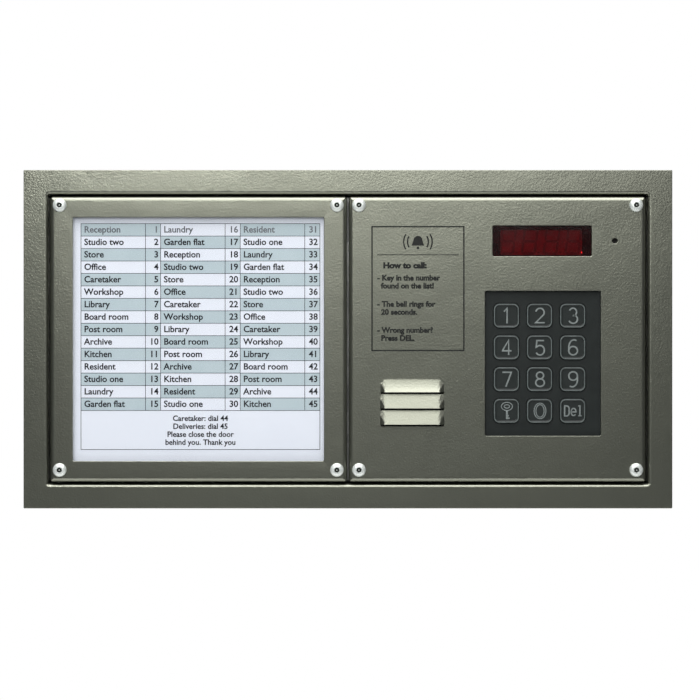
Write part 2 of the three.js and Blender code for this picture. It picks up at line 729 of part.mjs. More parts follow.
function addKeypad(group) {
  const seal = slab(
    rectangle(carrierSize.width, carrierSize.height, 0, keypad.x, keypad.y),
    carrierFront + SEAT,
    plateBack - SEAT,
    [
      rectangle(
        keypadOpening.width + 2 * GASKET.setBack,
        keypadOpening.height + 2 * GASKET.setBack,
        0,
        keypad.x,
        keypad.y,
      ),
      ...studHoles(keypadStuds),
    ],
  );
  const keyHoles = keyPlaces.map(({ centre }) =>
    rectangle(KEY.width + 2 * SLIP, KEY.height + 2 * SLIP, KEY.corner + SLIP, ...centre),
  );
  const carrier = slab(
    rectangle(carrierSize.width, carrierSize.height, CARRIER.corner, keypad.x, keypad.y),
    carrierBack,
    carrierFront,
    [...keyHoles, ...studHoles(keypadStuds)],
  );
  group.add(piece("keypad_seal", seal, "grey_foam"));
  group.add(piece("keypad_carrier", carrier, "black_plastic"));

  const lipReach = 2 * KEY_DEPTH.lipReach;
  const key = join([
    slab(rectangle(KEY.width, KEY.height, KEY.corner), keyBack, carrierFront + KEY_DEPTH.proud),
    slab(
      rectangle(KEY.width + lipReach, KEY.height + lipReach, KEY.corner),
      keyBack,
      keyBack + KEY_DEPTH.lip,
    ),
  ]);
  for (const { name, centre } of keyPlaces) {
    const mesh = piece(name, key, "black_plastic");
    mesh.position.set(...centre, 0);
    group.add(mesh);
  }

  const sheet = slab(
    rectangle(carrierSize.width, carrierSize.height, CARRIER.corner, keypad.x, keypad.y),
    matBack,
    matBack + MAT_THICKNESS,
    studHoles(keypadStuds),
  );
  const domes = keyPlaces.map(({ centre }) =>
    turned(
      [
        [0, domeTop - DOME.height - MAT_THICKNESS / 2],
        [DOME.baseDiameter / 2, domeTop - DOME.height - MAT_THICKNESS / 2],
        [DOME.baseDiameter / 2, domeTop - DOME.height],
        [DOME.topDiameter / 2, domeTop],
        [0, domeTop],
      ],
      ...centre,
    ),
  );
  const board = slab(
    rectangle(carrierSize.width, carrierSize.height, CARRIER.corner, keypad.x, keypad.y),
    keypadBoardBack,
    keypadBoardBack + BOARD_THICKNESS,
    studHoles(keypadStuds),
  );
  group.add(piece("keypad_mat", join([sheet, ...domes]), "black_rubber"));
  group.add(piece("keypad_board", board, "circuit_board"));
}

/** The omega-shaped strap that holds the loudspeaker against the plate. */
function speakerBracket() {
  const t = BRACKET.sheet;
  const web = magnetBack - SEAT;
  const footFront = speakerFront - SEAT;
  const shape = new THREE.Shape();
  shape.moveTo(-bracketReach, footFront).lineTo(-bracketLeg, footFront);
  shape.lineTo(-bracketLeg, web).lineTo(bracketLeg, web);
  shape.lineTo(bracketLeg, footFront).lineTo(bracketReach, footFront);
  shape.lineTo(bracketReach, footFront - t).lineTo(bracketLeg + t, footFront - t);
  shape.lineTo(bracketLeg + t, web - t).lineTo(-bracketLeg - t, web - t);
  shape.lineTo(-bracketLeg - t, footFront - t).lineTo(-bracketReach, footFront - t);
  const strap = acrossX(shape, BRACKET.width, speaker.x, speaker.y);
  const holes = bracketStuds.map(([x, y]) =>
    slab(circle(STUD.thread + 2 * SLIP, x, y), footFront - t - PASS, footFront + PASS),
  );
  return cut(strap, holes);
}

function addSpeaker(group) {
  const outer = SPEAKER.diameter / 2;
  const inner = outer - SPEAKER.rim;
  const place = [speaker.x, speaker.y];
  const sealFront = plateBack - SEAT;

  const cloth = slab(circle(2 * (inner - SLIP), ...place), sealFront - CLOTH_THICKNESS, sealFront);
  const seal = slab(circle(2 * outer, ...place), speakerFront + SEAT, sealFront, [
    circle(2 * inner, ...place),
  ]);

  const floor = speakerFront - SPEAKER.depth;
  const basket = turned(
    [
      [CONE.neck / 2 + 2 * SLIP, floor],
      [MAGNET.diameter / 2, floor],
      [inner + SPEAKER.flange, speakerFront - SPEAKER.flange - 2],
      [inner + SPEAKER.flange, speakerFront - SPEAKER.flange],
      [outer, speakerFront - SPEAKER.flange],
      [outer, speakerFront],
      [inner, speakerFront],
      [inner, speakerFront - SPEAKER.flange - 2],
      [MAGNET.diameter / 2 - SPEAKER.flange, floor + SPEAKER.flange],
      [CONE.neck / 2 + 2 * SLIP, floor + SPEAKER.flange],
      [CONE.neck / 2 + 2 * SLIP, floor],
    ],
    ...place,
    2 * ROUND_STEPS,
  );

  const edge = inner - 2 * SLIP;
  const rollTop = speakerFront - 2 * CONE.travel;
  const neckZ = rollTop - CONE.neckDepth;
  const wall = CONE.wall;
  const cone = turned(
    [
      [0, neckZ - wall],
      [CONE.neck / 2, neckZ - wall],
      [edge - 3, rollTop - 1.5 - wall],
      [edge, rollTop - 1.5 - wall],
      [edge, rollTop - 1.5],
      [edge - 1.5, rollTop],
      [edge - 3, rollTop - 1.5],
      [CONE.neck / 2 + wall, neckZ],
      [0.55 * CONE.neck, neckZ + 1],
      [0.3 * CONE.neck, neckZ + 2.2],
      [0, neckZ + 2.6],
    ],
    ...place,
    2 * ROUND_STEPS,
  );

  const magnet = turned(
    [
      [0, magnetBack],
      [MAGNET.diameter / 2 - 1, magnetBack],
      [MAGNET.diameter / 2, magnetBack + 1],
      [MAGNET.diameter / 2, magnetFront],
      [0, magnetFront],
    ],
    ...place,
    2 * ROUND_STEPS,
  );
  group.add(piece("speaker_cloth", cloth, "black_rubber"));
  group.add(piece("speaker_seal", seal, "grey_foam"));
  group.add(piece("speaker_basket", basket, "galvanised"));
  group.add(piece("speaker_cone", cone, "cone_paper"));
  group.add(piece("speaker_magnet", magnet, "magnet"));
  group.add(piece("speaker_bracket", speakerBracket(), "galvanised"));
}

function addMicrophone(group) {
  const place = [microphone.x, microphone.y];
  const front = plateBack - SEAT;
  const seat = front - BOOT.front;
  const bore = MICROPHONE.diameter / 2 + SEAT;
  const boot = turned(
    [
      [bore, front - BOOT.length],
      [BOOT.diameter / 2, front - BOOT.length],
      [BOOT.diameter / 2, front],
      [MICROPHONE.hole / 2, front],
      [MICROPHONE.hole / 2, seat],
      [bore, seat],
      [bore, front - BOOT.length],
    ],
    ...place,
  );
  const capsule = slab(
    circle(MICROPHONE.diameter, ...place),
    seat - SEAT - MICROPHONE.length,
    seat - SEAT,
  );
  group.add(piece("microphone_boot", boot, "black_rubber"));
  group.add(piece("microphone", capsule, "zinc"));
}

/** A flat cable at x that leaves one board squarely, bows in y and meets the other squarely. */
function ribbon(x, from, to, bow = 0) {
  const middle = (from.z + to.z) / 2;
  const path = new THREE.CubicBezierCurve(
    new THREE.Vector2(from.y, from.z),
    new THREE.Vector2(from.y + bow, middle),
    new THREE.Vector2(to.y + bow, middle),
    new THREE.Vector2(to.y, to.z),
  );
  const side = (offset) =>
    Array.from({ length: RIBBON.steps + 1 }, (_, i) => {
      const point = path.getPoint(i / RIBBON.steps);
      const squarely = i === 0 || i === RIBBON.steps;
      const along = squarely ? new THREE.Vector2(0, -1) : path.getTangent(i / RIBBON.steps);
      return point.add(new THREE.Vector2(-along.y, along.x).multiplyScalar(offset));
    });
  const half = RIBBON.thickness / 2;
  const profile = new THREE.Shape([...side(half), ...side(-half).reverse()]);
  return acrossX(profile, RIBBON.width, x, 0);
}

function addElectronics(group) {
  const board = slab(
    rectangle(
      mainBoard.right - mainBoard.left,
      mainBoard.top - mainBoard.bottom,
      MAIN_BOARD.corner,
      (mainBoard.left + mainBoard.right) / 2,
      (mainBoard.top + mainBoard.bottom) / 2,
    ),
    mainBoardBack,
    mainBoardFront,
    studHoles(standoffs),
  );
  group.add(piece("main_board", board, "circuit_board"));

  const pillar = slab(hexagon(STANDOFF.acrossFlats), mainBoardFront + SEAT, plateBack - SEAT, [
    circle(STANDOFF.bore + SLIP),
  ]);
  standoffs.forEach(([x, y], i) => {
    const mesh = piece(`board_standoff_${i + 1}`, pillar, "brass");
    mesh.position.set(x, y, 0);
    group.add(mesh);
  });

  const top = mainBoardBack - SEAT;
  const width = TERMINALS.ways * TERMINALS.pitch;
  const centreX = mainBoard.left + TERMINALS.fromLeft + width / 2;
  const centreY = mainBoard.bottom + TERMINALS.fromBottom;
  const rear = top - TERMINALS.height;
  const block = slab(rectangle(width, TERMINALS.depth, 0, centreX, centreY), rear, top);
  const mouthY = centreY - TERMINALS.depth / 2;
  const ways = Array.from({ length: TERMINALS.ways }, (_, i) => {
    const x = centreX + (i - (TERMINALS.ways - 1) / 2) * TERMINALS.pitch;
    const well = circle(TERMINAL_WELL.diameter, x, centreY + TERMINAL_WELL.offCentre);
    const mouth = rectangle(TERMINAL_MOUTH.width, 2 * TERMINAL_MOUTH.depth, 0, x, mouthY);
    return [
      slab(well, rear - PASS, rear + TERMINAL_WELL.depth),
      slab(mouth, rear + TERMINAL_MOUTH.below, top - TERMINAL_MOUTH.above),
    ];
  }).flat();
  group.add(piece("terminal_block", cut(block, ways), "terminal_green"));

  const relay = slab(
    rectangle(
      RELAY.width,
      RELAY.depth,
      RELAY.corner,
      mainBoard.right - RELAY.fromRight,
      mainBoard.bottom + RELAY.fromBottom,
    ),
    top - RELAY.height,
    top,
  );
  group.add(piece("door_relay", relay, "relay_blue"));

  const keypadRibbon = ribbon(
    keypad.x,
    { y: keypad.y, z: keypadBoardBack - SEAT },
    { y: keypad.y, z: mainBoardFront + SEAT },
    RIBBON.bow,
  );
  const displayRibbon = ribbon(
    display.x,
    { y: display.y - DISPLAY_BOARD.height / 3, z: displayBoardBack - SEAT },
    { y: mainBoard.top - MAIN_BOARD.holeInset, z: mainBoardFront + SEAT },
  );
  group.add(piece("keypad_ribbon", keypadRibbon, "ribbon_grey"));
  group.add(piece("display_ribbon", displayRibbon, "ribbon_grey"));
}

function callModule() {
  const group = new THREE.Group();
  group.position.x = plateOffset;
  group.add(piece("call_plate", callPlate(), "paint"));
  addFaceScrews(group, "call");
  addDisplay(group);
  addKeypad(group);
  addSpeaker(group);
  addMicrophone(group);
  addElectronics(group);
  return group;
}

// ---------------------------------------------------------------- the panel, stood up

const panel = new THREE.Group();
panel.add(housing(), directoryModule(), callModule());
panel.rotation.x = Math.PI / 2;

export default panel;
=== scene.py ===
"""Visual model of a flush-mounted door intercom panel, built round its packed mechanical frame.

The panel faces -Y with +Z up. Sizes and places in this file are in millimetres and turn into metres where a
vertex is made. Each sub-assembly is a class that takes its place from the frame, builds its meshes and
dresses them in a finish.
"""

from __future__ import annotations

import json
import logging
import math
from dataclasses import dataclass, field
from enum import Enum

import bmesh
import bpy
from mathutils import Matrix, Vector
from mathutils.geometry import delaunay_2d_cdt

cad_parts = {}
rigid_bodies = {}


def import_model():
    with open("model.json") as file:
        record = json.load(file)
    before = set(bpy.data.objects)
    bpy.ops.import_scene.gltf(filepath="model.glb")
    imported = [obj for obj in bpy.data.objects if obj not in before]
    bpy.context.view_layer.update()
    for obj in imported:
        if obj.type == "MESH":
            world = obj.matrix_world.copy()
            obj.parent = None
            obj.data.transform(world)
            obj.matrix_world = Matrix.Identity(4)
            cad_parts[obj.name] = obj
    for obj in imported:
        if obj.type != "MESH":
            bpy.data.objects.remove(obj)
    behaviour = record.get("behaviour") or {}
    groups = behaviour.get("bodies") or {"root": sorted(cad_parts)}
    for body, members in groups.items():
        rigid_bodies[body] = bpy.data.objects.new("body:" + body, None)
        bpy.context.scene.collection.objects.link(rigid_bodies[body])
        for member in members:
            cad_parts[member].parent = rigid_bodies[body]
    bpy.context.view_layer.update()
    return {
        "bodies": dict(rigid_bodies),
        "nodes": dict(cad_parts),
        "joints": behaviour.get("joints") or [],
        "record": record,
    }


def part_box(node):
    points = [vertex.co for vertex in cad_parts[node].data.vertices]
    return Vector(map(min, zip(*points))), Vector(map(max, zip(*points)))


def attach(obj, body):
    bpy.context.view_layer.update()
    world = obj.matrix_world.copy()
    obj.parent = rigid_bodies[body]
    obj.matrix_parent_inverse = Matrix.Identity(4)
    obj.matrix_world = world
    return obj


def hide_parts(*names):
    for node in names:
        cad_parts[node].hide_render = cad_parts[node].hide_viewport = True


LOG = logging.getLogger("intercom_panel")

MM = 0.001
HOUSING = "housing"
KEY_CREST = -45.66  # y of the key rims' crest, with the keys at rest
SMOOTHEST = 0.02  # the least roughness of a plain finish

Colour = tuple[float, float, float]
Point = tuple[float, float]
Outline = list[Point]
Ring = list[bmesh.types.BMVert]
Piece = bpy.types.Object


# ---------------------------------------------------------------- outlines


def arc(centre: Point, radius: float, start: float, end: float, steps: int) -> Outline:
    """Points on an arc.

    Args:
        centre: Middle of the arc, in x and z.
        radius: Radius of the arc.
        start: Angle of the first point, in degrees.
        end: Angle of the last point, in degrees.
        steps: Number of stretches between the points.

    Returns:
        The points, both ends included.
    """
    angles = [math.radians(start + (end - start) * i / steps) for i in range(steps + 1)]
    return [(centre[0] + radius * math.cos(a), centre[1] + radius * math.sin(a)) for a in angles]


def oval(
    centre: Point, wide: float, tall: float, start: float = 0, end: float = 360, steps: int = 24
) -> Outline:
    """Points on an oval's arc.

    Args:
        centre: Its middle.
        wide: Half its width.
        tall: Half its height.
        start: Angle of the first point, in degrees.
        end: Angle of the last point, in degrees.
        steps: Number of stretches between the points.

    Returns:
        The points. A full turn leaves out the last one, which would repeat the first.
    """
    points = [(centre[0] + wide * x, centre[1] + tall * z) for x, z in arc((0, 0), 1, start, end, steps)]
    return points[:-1] if abs(end - start) >= 360 else points


def rounded_rectangle(
    width: float, height: float, radius: float, centre: Point = (0.0, 0.0), steps: int = 6
) -> Outline:
    """A rectangle with rounded corners, anticlockwise from its top right corner.

    Args:
        width: Size in x.
        height: Size in z.
        radius: Corner radius, at least a hair above zero.
        centre: Middle of the rectangle.
        steps: Stretches in each corner, so that equal steps give rings of equal length.

    Returns:
        The outline's points.
    """
    across = width / 2 - radius
    up = height / 2 - radius
    corners = [(across, up, 0), (-across, up, 90), (-across, -up, 180), (across, -up, 270)]
    points: Outline = []
    for x, z, start in corners:
        points += arc((centre[0] + x, centre[1] + z), radius, start, start + 90, steps)
    return points


def circle(diameter: float, centre: Point = (0.0, 0.0), steps: int = 48) -> Outline:
    """A circle's points, anticlockwise from +x."""
    return arc(centre, diameter / 2, 0, 360, steps)[:-1]


def hexagon(across_flats: float, centre: Point = (0.0, 0.0), steps: int = 48) -> Outline:
    """A hexagon with as many points as a circle of the same steps, so that a wall can join the two."""
    points: Outline = []
    for i in range(steps):
        angle = 2 * math.pi * i / steps
        off_flat = (angle + math.pi / 6) % (math.pi / 3) - math.pi / 6
        radius = across_flats / 2 / math.cos(off_flat)
        points.append((centre[0] + radius * math.cos(angle), centre[1] + radius * math.sin(angle)))
    return points


def inside(point: Point, outline: Outline) -> bool:
    """Whether a point lies in a closed outline, by counting the edges to its right."""
    x, z = point
    odd = False
    for (ax, az), (bx, bz) in zip(outline, outline[1:] + outline[:1]):
        if (az > z) != (bz > z) and x < (bx - ax) * (z - az) / (bz - az) + ax:
            odd = not odd
    return odd


# ---------------------------------------------------------------- meshes


class Sheet:
    """A mesh in the making, of rings, the walls between them and flat skins with holes."""

    def __init__(self) -> None:
        """Starts an empty mesh."""
        self.mesh = bmesh.new()

    def ring(self, outline: Outline, y: float) -> Ring:
        """Puts an outline's vertices at a depth y."""
        return [self.mesh.verts.new((x * MM, y * MM, z * MM)) for x, z in outline]

    def wall(self, first: Ring, second: Ring, closed: bool = True) -> None:
        """Joins two rings of equal length with quads.

        Args:
            first: One ring.
            second: The other ring.
            closed: Whether the last vertex joins the first one again.
        """
        count = len(first)
        for i in range(count if closed else count - 1):
            after = (i + 1) % count
            self.mesh.faces.new((first[i], first[after], second[after], second[i]))

    def walls(self, rings: list[Ring], closed: bool = True) -> None:
        """Joins each ring of a list to the next one."""
        for first, second in zip(rings, rings[1:]):
            self.wall(first, second, closed)

    def cap(self, ring: Ring) -> None:
        """Closes a ring with one face."""
        self.mesh.faces.new(ring)

    def skin(self, outer: Ring, holes: list[Ring]) -> None:
        """Fills a flat outline with triangles, leaving its holes open.

        Args:
            outer: The outer ring.
            holes: Rings of the holes, in the outer ring's plane.
        """
        loops = [outer, *holes]
        verts = [vert for loop in loops for vert in loop]
        points = [Vector((vert.co.x / MM, vert.co.z / MM)) for vert in verts]
        edges: list[tuple[int, int]] = []
        start = 0
        for loop in loops:
            count = len(loop)
            edges += [(start + i, start + (i + 1) % count) for i in range(count)]
            start += count
        places, _, faces, sources, _, _ = delaunay_2d_cdt(points, edges, [], 0, 1e-7)
        outlines = [[(v.co.x / MM, v.co.z / MM) for v in loop] for loop in loops]
        for face in faces:
            middle = sum((places[i] for i in face), Vector((0, 0))) / len(face)
            if not inside(middle, outlines[0]) or any(inside(middle, hole) for hole in outlines[1:]):
                continue
            self.mesh.faces.new([verts[sources[i][0]] for i in face])

    def lathe(self, profile: list[Point], centre: Point, steps: int = 48) -> list[Ring]:
        """Turns a profile about an axis along y.

        Args:
            profile: Points of radius and y, from one end to the other. An end on the axis closes
                with a cap.
            centre: The axis's x and z.
            steps: Sides of each ring.

        Returns:
            The rings, one for each point off the axis.
        """
        rings = [self.ring(circle(2 * r, centre, steps), y) for r, y in profile if r > 0]
        self.walls(rings)
        if profile[0][0] <= 0:
            self.cap(rings[0])
        if profile[-1][0] <= 0:
            self.cap(rings[-1])
        return rings

    def block(self, outline: Outline, back: float, front: float, ease: float = 0.0) -> None:
        """A solid of one outline between two depths, its front edge eased by a small radius.

        Args:
            outline: The block's outline.
            back: The y of its rear face.
            front: The y of its front face.
            ease: How far the front edge is drawn in.
        """
        rings = [self.ring(outline, back)]
        if ease > 0:
            middle = Vector((sum(p[0] for p in outline), sum(p[1] for p in outline))) / len(outline)
            for share in (0.0, 0.35, 1.0):
                drawn = [Vector(p) - (Vector(p) - middle).normalized() * ease * share for p in outline]
                rings.append(self.ring([tuple(p) for p in drawn], front + ease * (1 - share) ** 2))
        else:
            rings.append(self.ring(outline, front))
        self.walls(rings)
        self.cap(rings[0])
        self.cap(rings[-1])

    def tube(self, outer: Outline, inner: Outline, back: float, front: float, ease: float = 0.0) -> None:
        """A solid between two outlines of equal length, such as a nut or a washer.

        Args:
            outer: The outer outline.
            inner: The hole's outline.
            back: The y of its rear face.
            front: The y of its front face.
            ease: How far the outer edges are drawn in.
        """
        middle = Vector((sum(p[0] for p in outer), sum(p[1] for p in outer))) / len(outer)
        drawn = [tuple(Vector(p) - (Vector(p) - middle).normalized() * ease) for p in outer]
        rings = [self.ring(inner, back), self.ring(drawn, back), self.ring(outer, back - ease)]
        rings += [self.ring(outer, front + ease), self.ring(drawn, front), self.ring(inner, front)]
        self.walls([*rings, rings[0]])

    def stroke(self, path: Outline, width: float, back: float, front: float, closed: bool = False) -> None:
        """A solid line of one width along a path.

        Args:
            path: The path's points.
            width: The line's width.
            back: The y of its rear face.
            front: The y of its front face.
            closed: Whether the path joins its own start.
        """
        count = len(path)
        sides: list[tuple[Vector, Vector]] = []
        for i, place in enumerate(path):
            before = Vector(path[i - 1] if closed or i > 0 else place)
            after = Vector(path[(i + 1) % count] if closed or i < count - 1 else place)
            here = Vector(place)
            ahead = (after - here).normalized() if (after - here).length > 0 else (here - before).normalized()
            behind = (here - before).normalized() if (here - before).length > 0 else ahead
            along = (ahead + behind).normalized()
            across = Vector((-along.y, along.x))
            reach = width / 2 / max(across.dot(Vector((-ahead.y, ahead.x))), 0.45)
            sides.append((here + across * reach, here - across * reach))
        rails = []
        for side in (0, 1):
            for y in (back, front):
                rails.append(self.ring([tuple(pair[side]) for pair in sides], y))
        order = (0, 1, 3, 2, 0)
        for first, second in zip(order, order[1:]):
            self.wall(rails[first], rails[second], closed)
        if not closed:
            self.cap([rails[i][0] for i in order[:4]])
            self.cap([rails[i][-1] for i in order[:4]])

    def object(self, name: str, crease: float = 32.0) -> Piece:
        """Closes the mesh and makes an object of it.

        Args:
            name: The object's name.
            crease: Edges that turn by more than this angle in degrees stay sharp.

        Returns:
            The new object, linked to the scene.
        """
        bmesh.ops.remove_doubles(self.mesh, verts=self.mesh.verts, dist=1e-8)
        bmesh.ops.recalc_face_normals(self.mesh, faces=self.mesh.faces)
        data = bpy.data.meshes.new(name)
        self.mesh.to_mesh(data)
        self.mesh.free()
        return shaded_object(name, data, crease)


def shaded_object(name: str, data: bpy.types.Mesh, crease: float) -> Piece:
    """Links a mesh as an object with smooth faces and sharp creases.

    Args:
        name: The object's name.
        data: Its mesh.
        crease: Edges that turn by more than this angle in degrees stay sharp.

    Returns:
        The new object.
    """
    data.shade_smooth()
    data.set_sharp_from_angle(angle=math.radians(crease))
    piece = bpy.data.objects.new(name, data)
    bpy.context.scene.collection.objects.link(piece)
    weigh = piece.modifiers.new("flat faces stay flat", "WEIGHTED_NORMAL")
    weigh.keep_sharp = True
    return piece


def soften(piece: Piece, width: float, segments: int = 2) -> None:
    """Eases a machined or moulded piece's sharp edges.

    Args:
        piece: The piece.
        width: Width of the eased edge.
        segments: Faces across it.
    """
    bevel = piece.modifiers.new("eased edges", "BEVEL")
    bevel.width = width * MM
    bevel.segments = segments
    bevel.limit_method = "ANGLE"
    bevel.angle_limit = math.radians(35)
    bevel.harden_normals = True
    bevel.use_clamp_overlap = True


class Align(Enum):
    """How a line of print stands on its point."""

    LEFT = "LEFT"
    CENTRE = "CENTER"
    RIGHT = "RIGHT"


@dataclass(frozen=True)
class Line:
    """A line of print."""

    words: str
    place: Point
    height: float
    align: Align = Align.LEFT
    weight: float = 0.0
    squeeze: float = 1.0


def print_lines(name: str, lines: list[Line], y: float, thickness: float) -> Piece:
    """Makes a thin solid of several lines of print.

    Args:
        name: The object's name.
        lines: What to print, and where.
        y: Depth of the print's rear face.
        thickness: How far it stands proud towards the visitor.

    Returns:
        One object with all the lines in it.
    """
    whole = bmesh.new()
    for line in lines:
        curve = bpy.data.curves.new(name, "FONT")
        curve.body = line.words
        curve.size = line.height * MM
        curve.align_x = line.align.value
        curve.offset = line.weight * MM
        curve.extrude = thickness / 2 * MM
        curve.resolution_u = 3
        writing = bpy.data.objects.new(name, curve)
        writing.rotation_euler.x = math.radians(90)
        writing.scale.x = line.squeeze
        writing.location = (line.place[0] * MM, (y - thickness / 2) * MM, line.place[1] * MM)
        bpy.context.scene.collection.objects.link(writing)
        bpy.context.view_layer.update()
        data = bpy.data.meshes.new_from_object(writing)
        data.transform(writing.matrix_world)
        whole.from_mesh(data)
        bpy.data.objects.remove(writing)
        bpy.data.meshes.remove(data)
        bpy.data.curves.remove(curve)
    bmesh.ops.remove_doubles(whole, verts=whole.verts, dist=1e-8)
    data = bpy.data.meshes.new(name)
    whole.to_mesh(data)
    whole.free()
    return shaded_object(name, data, 40.0)


# ---------------------------------------------------------------- shader node trees


class Tree:
    """A node tree that is filled in by short calls."""

    def __init__(self, tree: bpy.types.NodeTree) -> None:
        """Takes the tree to fill.

        Args:
            tree: A material's, group's or world's node tree.
        """
        self.tree = tree

    def node(self, kind: str, inputs: dict | None = None, **settings) -> bpy.types.Node:
        """Adds a node.

        Args:
            kind: The node's type name without its ShaderNode prefix.
            inputs: Values or sockets for its inputs, by name or number.
            **settings: Its own properties.

        Returns:
            The node.
        """
        made = self.tree.nodes.new("ShaderNode" + kind)
        for key, value in settings.items():
            setattr(made, key, value)
        for key, value in (inputs or {}).items():
            if isinstance(value, bpy.types.NodeSocket):
                self.tree.links.new(value, made.inputs[key])
            else:
                made.inputs[key].default_value = value
        return made

    def math(self, operation: str, first, second=0.0, clamp: bool = False) -> bpy.types.NodeSocket:
        """One sum of two values or sockets.

        Args:
            operation: Blender's name for it, such as MULTIPLY.
            first: Its first value.
            second: Its second value.
            clamp: Whether the answer stays between 0 and 1.

        Returns:
            The answer's socket.
        """
        return self.node("Math", {0: first, 1: second}, operation=operation, use_clamp=clamp).outputs[0]

    def blend(self, mask, first, second, mode: str = "MIX") -> bpy.types.NodeSocket:
        """Mixes two colours.

        Args:
            mask: Share of the second colour.
            first: The colour at 0.
            second: The colour at 1.
            mode: Blender's name for the mix.

        Returns:
            The mixed colour's socket.
        """
        mix = self.node("Mix", data_type="RGBA", blend_type=mode)
        for key, value in (("Factor", mask), ("A", first), ("B", second)):
            sockets = [s for s in mix.inputs if s.name == key and s.enabled]
            if isinstance(value, bpy.types.NodeSocket):
                self.tree.links.new(value, sockets[-1])
            else:
                sockets[-1].default_value = value
        return next(s for s in mix.outputs if s.enabled)

    def ramp(self, value, low: float, high: float, smooth: bool = True) -> bpy.types.NodeSocket:
        """Spreads a stretch of a value over 0 to 1.

        Args:
            value: The socket to read.
            low: What becomes 0.
            high: What becomes 1.
            smooth: Whether it eases in and out.

        Returns:
            The spread value's socket.
        """
        kind = "SMOOTHSTEP" if smooth else "LINEAR"
        inputs = {"Value": value, "From Min": low, "From Max": high}
        return self.node("MapRange", inputs, interpolation_type=kind).outputs[0]

    def spread(self, value, low: float, high: float) -> bpy.types.NodeSocket:
        """Turns a mask of 0 to 1 into a stretch of values.

        Args:
            value: The mask's socket.
            low: What 0 becomes.
            high: What 1 becomes.

        Returns:
            The new value's socket.
        """
        return self.node("MapRange", {"Value": value, "To Min": low, "To Max": high}).outputs[0]

    def link(self, source: bpy.types.NodeSocket, target: bpy.types.NodeSocket) -> None:
        """Joins two sockets."""
        self.tree.links.new(source, target)


class Effect(Enum):
    """Surface effects that several finishes share, as node groups."""

    ORANGE_PEEL = "orange peel"
    MOTTLE = "mottle"
    EDGE_WEAR = "edge wear"
    GRAIN = "moulded grain"
    BRUSHING = "brushed lines"


GROUP_INPUTS = {
    Effect.ORANGE_PEEL: {"Size": 1.0, "Pits": 0.5},
    Effect.MOTTLE: {"Size": 12.0, "Contrast": 0.5},
    Effect.EDGE_WEAR: {"Radius": 0.4, "Amount": 0.5},
    Effect.GRAIN: {"Size": 0.3},
    Effect.BRUSHING: {"Length": 12.0, "Width": 0.12},
}


def millimetres(tree: Tree, stretch: Colour = (1.0, 1.0, 1.0)) -> bpy.types.NodeSocket:
    """Places on the surface, in millimetres of the panel's own frame.

    Args:
        tree: The tree to add to.
        stretch: A factor for each axis.

    Returns:
        The vector's socket.
    """
    place = tree.node("TexCoord").outputs["Object"]
    factors = tuple(s / MM for s in stretch)
    return tree.node("VectorMath", {0: place, 1: factors}, operation="MULTIPLY").outputs[0]


def fill_orange_peel(tree: Tree, inputs: bpy.types.Node) -> dict[str, bpy.types.NodeSocket]:
    """Paint that has drawn up into small cells as it dried, with fine pits between them."""
    place = millimetres(tree)
    scale = tree.math("DIVIDE", 1.0, inputs.outputs["Size"])
    fine_scale = tree.math("MULTIPLY", scale, 2.7)
    cells = tree.node("TexNoise", {"Vector": place, "Scale": scale, "Detail": 1.5, "Roughness": 0.45})
    fine = tree.node("TexNoise", {"Vector": place, "Scale": fine_scale, "Detail": 2.0, "Roughness": 0.6})
    pits = tree.math("MULTIPLY", fine.outputs["Fac"], inputs.outputs["Pits"])
    height = tree.math("ADD", tree.ramp(cells.outputs["Fac"], 0.3, 0.7), pits)
    flake = tree.ramp(fine.outputs["Fac"], 0.42, 0.66)
    return {"Height": height, "Flake": flake}


def fill_mottle(tree: Tree, inputs: bpy.types.Node) -> dict[str, bpy.types.NodeSocket]:
    """Broad uneven patches."""
    place = millimetres(tree)
    scale = tree.math("DIVIDE", 1.0, inputs.outputs["Size"])
    noise = tree.node("TexNoise", {"Vector": place, "Scale": scale, "Detail": 4.0, "Roughness": 0.55})
    spread = tree.math("MULTIPLY", inputs.outputs["Contrast"], 0.5)
    low = tree.math("SUBTRACT", 0.5, tree.math("SUBTRACT", 0.6, spread))
    high = tree.math("ADD", 0.5, tree.math("SUBTRACT", 0.6, spread))
    return {"Mask": tree.ramp(noise.outputs["Fac"], low, high)}


def fill_edge_wear(tree: Tree, inputs: bpy.types.Node) -> dict[str, bpy.types.NodeSocket]:
    """Where an outer edge has been rubbed, broken up so that it isn't an even line."""
    radius = tree.math("MULTIPLY", inputs.outputs["Radius"], MM)
    rounded = tree.node("Bevel", {"Radius": radius}, samples=4)
    true = tree.node("NewGeometry").outputs["Normal"]
    facing = tree.node("VectorMath", {0: rounded.outputs[0], 1: true}, operation="DOT_PRODUCT")
    turned = tree.math("SUBTRACT", 1.0, facing.outputs["Value"])
    patches = tree.node("TexNoise", {"Vector": millimetres(tree), "Scale": 0.6, "Detail": 3.0})
    broken = tree.ramp(patches.outputs["Fac"], 0.35, 0.7)
    edge = tree.ramp(turned, 0.02, 0.2)
    amount = tree.math("MULTIPLY", broken, inputs.outputs["Amount"])
    return {"Mask": tree.math("MULTIPLY", edge, amount, clamp=True)}


def fill_grain(tree: Tree, inputs: bpy.types.Node) -> dict[str, bpy.types.NodeSocket]:
    """The fine leather-like grain of a spark-eroded mould."""
    scale = tree.math("DIVIDE", 1.0, inputs.outputs["Size"])
    cells = tree.node("TexVoronoi", {"Vector": millimetres(tree), "Scale": scale}, feature="SMOOTH_F1")
    return {"Height": cells.outputs["Distance"]}


